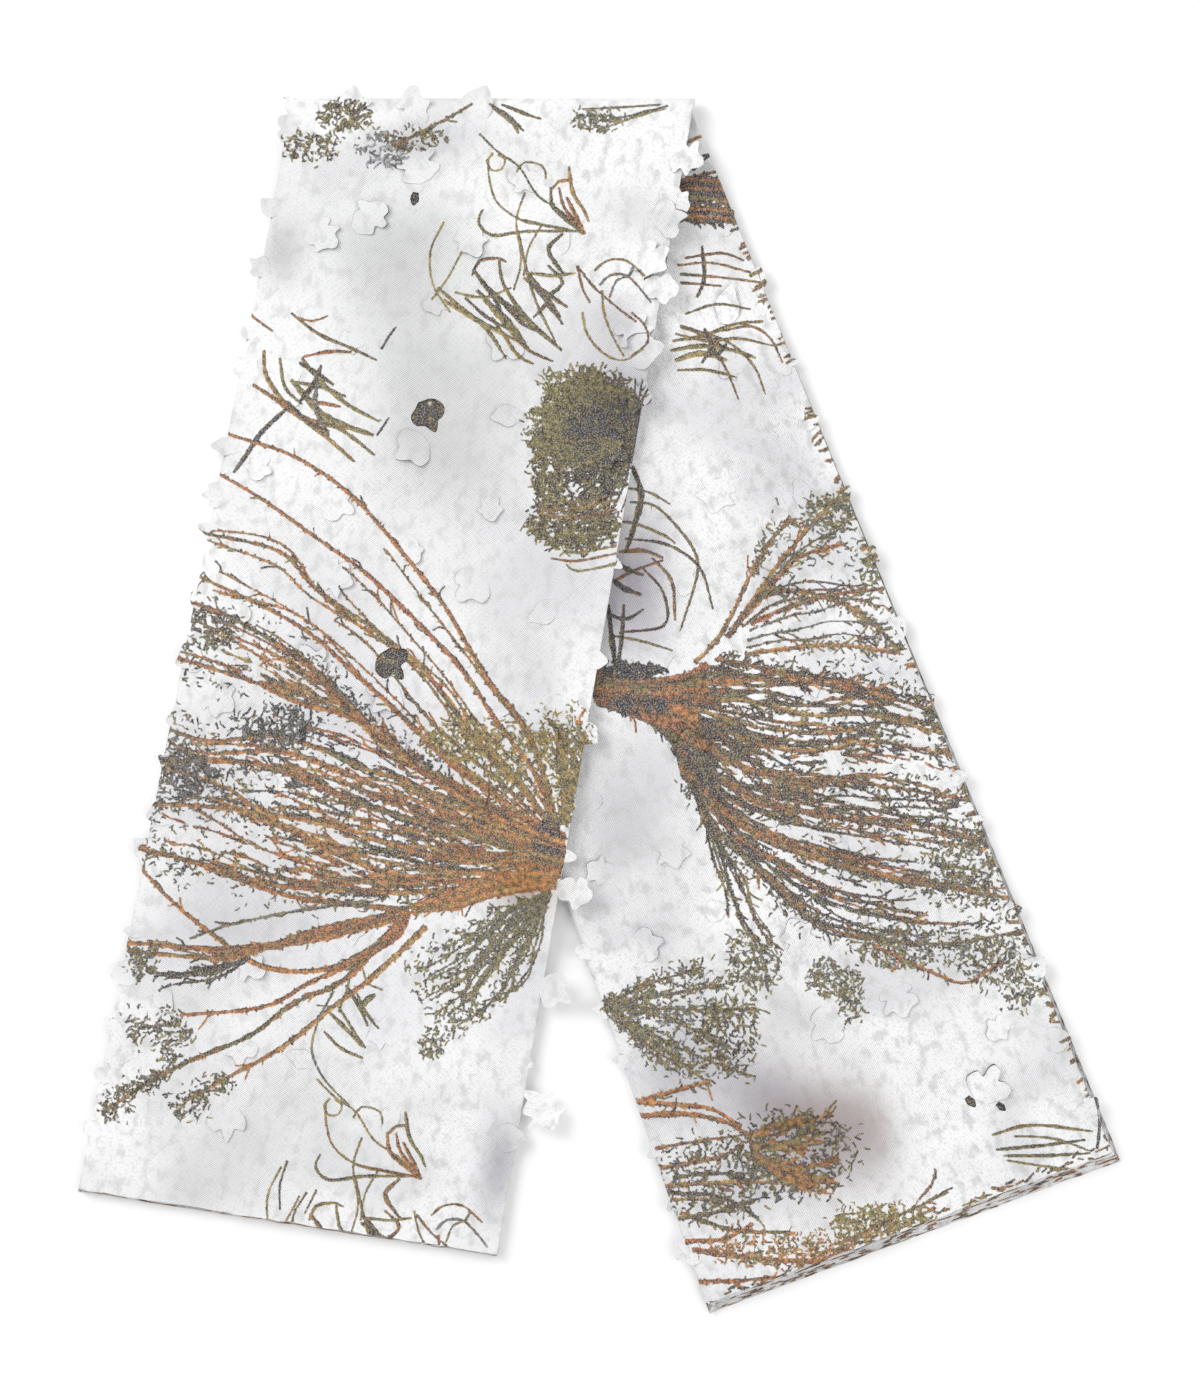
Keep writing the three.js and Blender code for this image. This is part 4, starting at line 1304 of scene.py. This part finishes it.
def make_mesh(name, leg, verts, triangles, places, ink, shade_and_tone_patches):
    """A mesh with its ink and its painted shade patches on the points, and its flat cut as a UV map."""
    offset = places - CREASE_LEFT
    flat = np.column_stack([offset @ leg.across, offset @ leg.down])
    # the shade layer carries the painted shade patches and the print's soft tones
    colours = (("ink", ink.ink_at(places)), ("shade", painted_shade_and_tone(places, shade_and_tone_patches)))
    mesh = bpy.data.meshes.new(name)
    mesh.from_pydata(verts.tolist(), [], triangles.tolist())
    mesh.polygons.foreach_set("use_smooth", np.ones(len(triangles), bool))
    for layer, values in colours:
        attribute = mesh.color_attributes.new(layer, "FLOAT_COLOR", "POINT")
        attribute.data.foreach_set("color", values.astype(np.float32).ravel())
    layer = mesh.uv_layers.new(name="flat")
    layer.data.foreach_set("uv", flat[triangles.ravel()].astype(np.float32).ravel())
    mesh.update()
    piece = bpy.data.objects.new(name, mesh)
    bpy.context.scene.collection.objects.link(piece)
    return piece


def make_ply(leg, ply, leaves, holes, ink, shade_and_tone_patches, detail):
    """Cuts out one ply and lays it on its stack; detail is the spacing of its points where it is inked."""
    outline = ply_outline(leg, ply)
    low, high = np.min(outline, axis=0), np.max(outline, axis=0)
    ink.finish()
    spacing = GRID if ply == PLIES else 2 * GRID
    dense = staggered(low, high, detail)
    dense = dense[ink.is_inked(dense)]
    around = staggered(low, high, spacing)
    points = np.concatenate([dense, around[~ink.is_inked(around)], fold_rows(leg, ply, spacing / 2)])
    places, triangles, leaf_of = cut(outline, points, leaves, holes)
    source, vert_leaf, triangles = free_leaves(places, triangles, leaf_of, leaves)
    places = places[source]
    verts = lay(leg, ply, places)
    for i, leaf in enumerate(leaves):
        on = np.flatnonzero(vert_leaf == i)
        if len(on):
            verts[on] = leaf.raise_up(places[on], ply_height(leg, ply, places[on]))
    piece = make_mesh(f"{leg.name}_cloth_{ply}", leg, verts, triangles, places, ink, shade_and_tone_patches)
    if leg is FRONT:
        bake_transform(piece)
    else:
        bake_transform(piece)
    return piece


# --- leaves of each ply ------------------------------------------------------------------------------


# kind, size, lift and curl of each leaf that has its own hinge
HINGED_LEAVES = {
    "leaf_1": ("maple", 1.0, 5, 10),
    "leaf_2": ("oak", 1.0, 5, 8),
    "leaf_3": ("wing", 0.9, 5, 8),
    "leaf_4": ("maple", 1.0, 6, 10),
    "leaf_5": ("maple", 0.9, 5, 8),
    "leaf_6": ("wing", 0.9, 5, 8),
    "leaf_7": ("oak", 0.95, 5, 8),
    "leaf_8": ("spear", 1.0, 5, 8),
    "leaf_9": ("maple", 1.0, 5, 8),
    "leaf_10": ("wing", 1.0, 5, 8),
}
# leaves tucked under in the cloth, which are cut here only as holes: root in millimetres, heading, kind and
# size
FOLDED_LEAVES = {
    "front": [
        ((-144, 250), -70, "wing", 0.85),
        ((-176, 46), -60, "wing", 0.85),
        ((-150, 420), -100, "spear", 0.35),
    ],
    "back": [((301, -320), -50, "spear", 0.35), ((326, -325), -40, "spear", 0.3)],
}


def scattered_leaves(leg, rng, keep_clear):
    """The staggered rows of leaves cut in a top ply, left out near the places in keep_clear."""
    leaves = []
    left, right = leg.edges(PLIES)
    kinds = list(LEAF_SHAPES)
    for row in range(LEAF_ROWS):
        for column in range(LEAF_COLUMNS):
            down = (row + 0.45 + 0.5 * (column % 2)) * LEAF_ROW
            on_left, on_right = left[0] + left[1] * down, right[0] + right[1] * down
            share = (column + 0.5) / LEAF_COLUMNS + rng.uniform(-0.03, 0.03)
            root = on_left + (on_right - on_left) * share + rng.uniform(-6, 6, 2) * MM
            heading = rng.uniform(0, 360)
            lift, curl = rng.uniform(0.5, 5), rng.uniform(-3, 12)
            size = rng.uniform(0.7, 0.95)
            leaf = Leaf(root, heading, kinds[rng.integers(4)], size, lift, curl)
            tip = np.array([leaf.centre(), leaf.root + leaf.along * leaf.length])
            clear_of_edges = min(inside(left, tip).min(), inside(right, tip).min()) > LEAF_INSET
            clear_of_ends = 0.03 < down < 0.86
            clear_of_others = all(np.linalg.norm(leaf.centre() - c) > LEAF_SPACE for c in keep_clear)
            if clear_of_edges and clear_of_ends and clear_of_others:
                hidden = leg is BACK and inside(FRONT_RIGHT_EDGE, leaf.root[None])[0] > -30 * MM
                if hidden:
                    leaf.lift = leaf.curl = 0.0
                leaves.append(leaf)
                keep_clear.append(leaf.centre())
    return leaves


def edge_leaves(leg, side, shares, rng, poke=(3, 12), lift=2, sizes=(0.45, 0.75)):
    """Leaves whose tips stick out past a side fold, because a cut leaf doesn't turn round it."""
    edge = leg.edges(PLIES)[side]
    length = np.linalg.norm(leg.end_corners(PLIES)[side] - edge[0])
    out = math.degrees(math.atan2(-edge[2][1], -edge[2][0]))
    kinds = ("tooth", "spear", "tooth", "wing", "oak")
    leaves = []
    for share in shares:
        share += rng.uniform(-0.012, 0.012)
        size = rng.uniform(*sizes)
        poking = rng.uniform(*poke) * MM
        turn = rng.uniform(-EDGE_TURN, EDGE_TURN)
        reach = LEAF_LENGTH * size * math.cos(math.radians(turn))
        root = edge[0] + edge[1] * length * share + edge[2] * (reach - poking)
        leaves.append(Leaf(root, out + turn, kinds[rng.integers(5)], size, lift, rng.uniform(-8, 12)))
    return leaves


# leaves that stand over the crease and the front leg's right-hand edge:
# root in millimetres, heading, kind, size and lift
STANDING_LEAVES = [
    ((-204, 476), 84, "maple", 0.95, 4),
    ((-150, 474), 96, "oak", 1.0, 5),
    ((-104, 484), 60, "tooth", 0.8, 4),
    ((-232, 462), 170, "oak", 0.95, 3),
    ((-238, 470), 124, "wing", 1.0, 6),
    ((58, 452), -20, "maple", 0.9, 14),
    ((52, 424), -50, "oak", 0.9, 12),
    ((44, 396), 10, "wing", 0.9, 14),
    ((30, 372), -36, "maple", 0.95, 16),
    ((36, 344), -8, "oak", 0.9, 12),
    ((22, 318), -60, "maple", 0.95, 14),
    ((24, 288), 12, "tooth", 0.9, 12),
    ((16, 262), -30, "oak", 0.9, 10),
    ((-2, 214), -24, "wing", 0.85, 10),
    ((-34, -146), -20, "oak", 0.9, 8),
    ((-48, -226), -30, "wing", 0.9, 8),
    ((-54, -318), -60, "maple", 1.0, 6),
]


def main():
    """Makes every ply of both legs, and the leaves that have their own hinges."""
    rng = np.random.default_rng(7)
    # the hinged leaves take a lighter copy of the cloth: painted light on the lifted leaves
    cloth, leaf_cloth = cloth_material("leafy_cloth"), cloth_material("leaf_cloth", 1.06)
    for leg, ink, shade_and_tone_patches in ((FRONT, front_print(), FRONT_PAINTED_SHADE_AND_TONE), (BACK, back_print(), BACK_PAINTED_SHADE_AND_TONE)):
        hinged = {}
        for body, joint in LEAF_JOINTS.items():
            if joint["parent"] == f"{leg.name}_leg":
                axis = joint["axis"]
                heading = math.degrees(math.atan2(axis[0], -axis[1]))
                hinged[body] = Leaf(joint["pos_m"][:2], heading, *HINGED_LEAVES[body])
        taken = [leaf.centre() for leaf in hinged.values()]
        folded = [Leaf(np.array(root) * MM, *rest) for root, *rest in FOLDED_LEAVES[leg.name]]
        taken += [leaf.centre() for leaf in folded]
        if leg is FRONT:
            taken += [np.array(root) * MM for root, *_ in STANDING_LEAVES]
        leaves = scattered_leaves(leg, rng, taken)
        if leg is FRONT:
            leaves += [Leaf(np.array(root) * MM, *rest, 8) for root, *rest in STANDING_LEAVES]
            leaves += edge_leaves(leg, 0, np.arange(0.1, 0.97, 0.05), rng)
            leaves += edge_leaves(leg, 1, (0.4, 0.47, 0.53, 0.6, 0.66, 0.82, 0.9), rng)
        else:
            leaves += edge_leaves(leg, 1, np.arange(0.1, 0.97, 0.066), rng, (2, 9))
            leaves += edge_leaves(leg, 0, np.arange(0.66, 0.97, 0.05), rng)
        holes = [leaf.outline() for leaf in [*hinged.values(), *folded]]
        piece = make_ply(leg, PLIES, leaves, holes, ink, shade_and_tone_patches, INK_DETAIL)
        finish_ply(piece, leg, PLIES, cloth)
        for body, leaf in hinged.items():
            piece = make_hinged_leaf(body, LEAF_JOINTS[body], leaf, ink, shade_and_tone_patches, leg)
            piece.data.materials.append(leaf_cloth)
        for ply in range(1, PLIES):
            under = under_print(leg, ply, [*hinged.values(), *folded])
            piece = make_ply(leg, ply, [], [], under, [], 1.9 * INK_DETAIL)
            finish_ply(piece, leg, ply, cloth)


def make_hinged_leaf(body, joint, leaf, ink, shade_and_tone_patches, leg):
    """One of the clearest lifted leaves, as its own piece on its own hinge."""
    outline = leaf.outline()
    low, high = outline.min(0), outline.max(0)
    points = staggered(low, high, INK_DETAIL)
    places, triangles, _ = cut(outline, points, [], [])
    verts = leaf.raise_up(places, np.full(len(places), joint["pos_m"][2]))
    piece = make_mesh(f"{body}_cloth", leg, verts, triangles, places, ink, shade_and_tone_patches)
    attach(piece, body)
    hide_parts(body.replace("leaf_", "leaf_flap_"))
    size = (LEAF_WIDTH * leaf.size, LEAF_LENGTH * leaf.size)
    x, y = outline.T
    area = abs(x @ np.roll(y, -1) - y @ np.roll(x, -1)) / 2
    area = min(area, size[0] * size[1])
    return piece


def finish_ply(piece, leg, ply, material):
    piece.data.materials.append(material)
    nodes = [f"{leg.name}_ply_{ply}"]
    if leg is FRONT:
        nodes.append(f"crease_bend_{ply}")
    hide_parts(*nodes)


# --- materials -------------------------------------------------------------------------------------


def node(tree, kind, **settings):
    """A new shader node, set out in a row after the ones before it."""
    made = tree.nodes.new(kind)
    made.location = (200 * len(tree.nodes), 0)
    for key, value in settings.items():
        setattr(made, key, value)
    return made


def cloth_material(name, painted_light=1.0):
    """Thin white open-weave cloth: mottled snow, painted shade patches, the print, and the weave's pinholes
    painted dark as shade in the holes.
    """
    material = bpy.data.materials.new(name)
    material.use_nodes = True
    tree = material.node_tree
    links = tree.links
    shader = tree.nodes["Principled BSDF"]
    shader.inputs["Roughness"].default_value = 0.85
    shader.inputs["Specular IOR Level"].default_value = 0.25
    shader.inputs["Sheen Weight"].default_value = 0.12
    shader.inputs["Sheen Roughness"].default_value = 0.5

    def plug(value, socket):
        """Sets a socket to a plain value, or links it to another node's output."""
        if isinstance(value, (int, float, tuple)):
            socket.default_value = value
        else:
            links.new(value, socket)

    def math_node(kind, *values):
        made = node(tree, "ShaderNodeMath", operation=kind)
        for socket, value in zip(made.inputs, values):
            plug(value, socket)
        return made.outputs[0]

    def mix(first, second, share):
        made = node(tree, "ShaderNodeMix", data_type="RGBA", blend_type="MIX")
        for socket, value in ((0, share), (6, first), (7, second)):
            plug(value, made.inputs[socket])
        return made.outputs[2]

    def levels(value, low, high, kind="SMOOTHSTEP"):
        """Spreads what lies between two levels from 0 to 1."""
        made = node(tree, "ShaderNodeMapRange", interpolation_type=kind)
        made.inputs["From Min"].default_value = low
        made.inputs["From Max"].default_value = high
        links.new(value, made.inputs["Value"])
        return made.outputs[0]

    flat = node(tree, "ShaderNodeUVMap", uv_map="flat").outputs[0]

    def cloudy(scale, detail, low, high, stretch=(1, 1, 1)):
        """Noise over the flat cloth, spread between two levels."""
        placed = node(tree, "ShaderNodeMapping")
        placed.inputs["Scale"].default_value = stretch
        links.new(flat, placed.inputs["Vector"])
        noise = node(tree, "ShaderNodeTexNoise", noise_dimensions="2D")
        noise.inputs["Scale"].default_value = scale
        noise.inputs["Detail"].default_value = detail
        links.new(placed.outputs[0], noise.inputs["Vector"])
        return levels(noise.outputs[0], low, high)

    # snow: broad greys, blotches and speckles, and the painted shade patches on the points
    shade = node(tree, "ShaderNodeVertexColor", layer_name="shade")
    # a factor above 1 lightens the snow: painted light on the lifted leaves
    snow = tuple(min(1, c * painted_light) for c in SNOW[:3]) + (1,)
    snow = mix(snow, SNOW_GREY, math_node("MULTIPLY", cloudy(9, 3, 0.4, 0.75), 0.8))
    blotch = cloudy(110, 5, 0.47, 0.72, (1, 0.7, 1))
    snow = mix(snow, SNOW_GREEN, math_node("MULTIPLY", blotch, 0.6))
    snow = mix(snow, SNOW_GREEN, math_node("MULTIPLY", cloudy(420, 2, 0.54, 0.7), 0.4))
    # painted shade and shadow from the patches on the points, mixed with the print's soft tones
    snow = mix(snow, shade.outputs["Color"], shade.outputs["Alpha"])

    # the print, a little worn and uneven in tone
    ink = node(tree, "ShaderNodeVertexColor", layer_name="ink")
    cover = levels(ink.outputs["Alpha"], 0.12, 0.6, "LINEAR")
    worn = math_node("MULTIPLY_ADD", cloudy(800, 2, 0.34, 0.56), 0.3, 0.7)
    tone = math_node("MULTIPLY_ADD", cloudy(240, 2, 0.25, 0.75), 0.65, 0.3)
    toned = node(tree, "ShaderNodeVectorMath", operation="SCALE")
    links.new(ink.outputs["Color"], toned.inputs[0])
    links.new(tone, toned.inputs["Scale"])
    printed = mix(snow, toned.outputs[0], math_node("MULTIPLY", cover, worn))

    # the pinholes, painted dark as shade in the weave's holes, clearer where the cloth is loose and where
    # painted shade lies
    apart = node(tree, "ShaderNodeSeparateXYZ")
    links.new(flat, apart.inputs[0])
    number = 2 * math.pi / WEAVE_PITCH
    threads = [math_node("SINE", math_node("MULTIPLY", apart.outputs[i], number)) for i in (0, 1)]
    weave = math_node("MULTIPLY", *threads)
    loose = math_node("MULTIPLY_ADD", cloudy(16, 2, 0.35, 0.7), 0.3, 0.28)
    loose = math_node("ADD", loose, math_node("MULTIPLY", shade.outputs["Alpha"], 0.35))
    woven = mix(printed, PORE_SHADE, math_node("MULTIPLY", levels(weave, 0.25, 0.85), loose))
    links.new(woven, shader.inputs["Base Color"])

    bump = node(tree, "ShaderNodeBump")
    bump.inputs["Strength"].default_value = 0.35
    bump.inputs["Distance"].default_value = 0.4 * MM
    links.new(weave, bump.inputs["Height"])
    links.new(bump.outputs[0], shader.inputs["Normal"])
    return material


# --- floor, light and camera -----------------------------------------------------------------------

VIEW_HEIGHT = 1.147  # metres across the picture's long side at the cloth
LENS = 85
CAMERA_AT = (0.0003, 0.006, 0.012)  # the middle of the view
FLOOR_SIDE = 12
FLOOR_WHITE = (0.95, 0.95, 0.95, 1)
LIGHTS = (  # name, place, side and power
    ("key", (-1.6, 1.2, 2.2), 1.6, 41),
    ("fill", (1.6, -0.6, 2.4), 2.0, 19),
)


def set_stage():
    scene = bpy.context.scene
    scene.view_settings.view_transform = "Standard"
    camera_data = bpy.data.cameras.new("camera")
    camera_data.lens = LENS
    camera = bpy.data.objects.new("camera", camera_data)
    distance = VIEW_HEIGHT * LENS / camera_data.sensor_width
    x, y, z = CAMERA_AT
    camera.location = (x, y, distance + z)
    scene.collection.objects.link(camera)
    scene.camera = camera
    bpy.ops.mesh.primitive_plane_add(size=FLOOR_SIDE)
    floor = bpy.context.object
    floor.name = "floor"
    paint = bpy.data.materials.new("floor")
    paint.use_nodes = True
    paint.node_tree.nodes["Principled BSDF"].inputs["Base Color"].default_value = FLOOR_WHITE
    paint.node_tree.nodes["Principled BSDF"].inputs["Roughness"].default_value = 0.9
    floor.data.materials.append(paint)
    world = bpy.data.worlds.new("studio")
    world.use_nodes = True
    world.node_tree.nodes["Background"].inputs["Color"].default_value = (1, 1, 1, 1)
    world.node_tree.nodes["Background"].inputs["Strength"].default_value = 0.7
    scene.world = world
    for name, place, size, power in LIGHTS:
        light_data = bpy.data.lights.new(name, "AREA")
        light_data.size = size
        light_data.energy = power
        light = bpy.data.objects.new(name, light_data)
        light.location = place
        light.rotation_mode = "QUATERNION"
        light.rotation_quaternion = (-Vector(place)).to_track_quat("-Z", "Y")
        scene.collection.objects.link(light)


set_stage()
main()
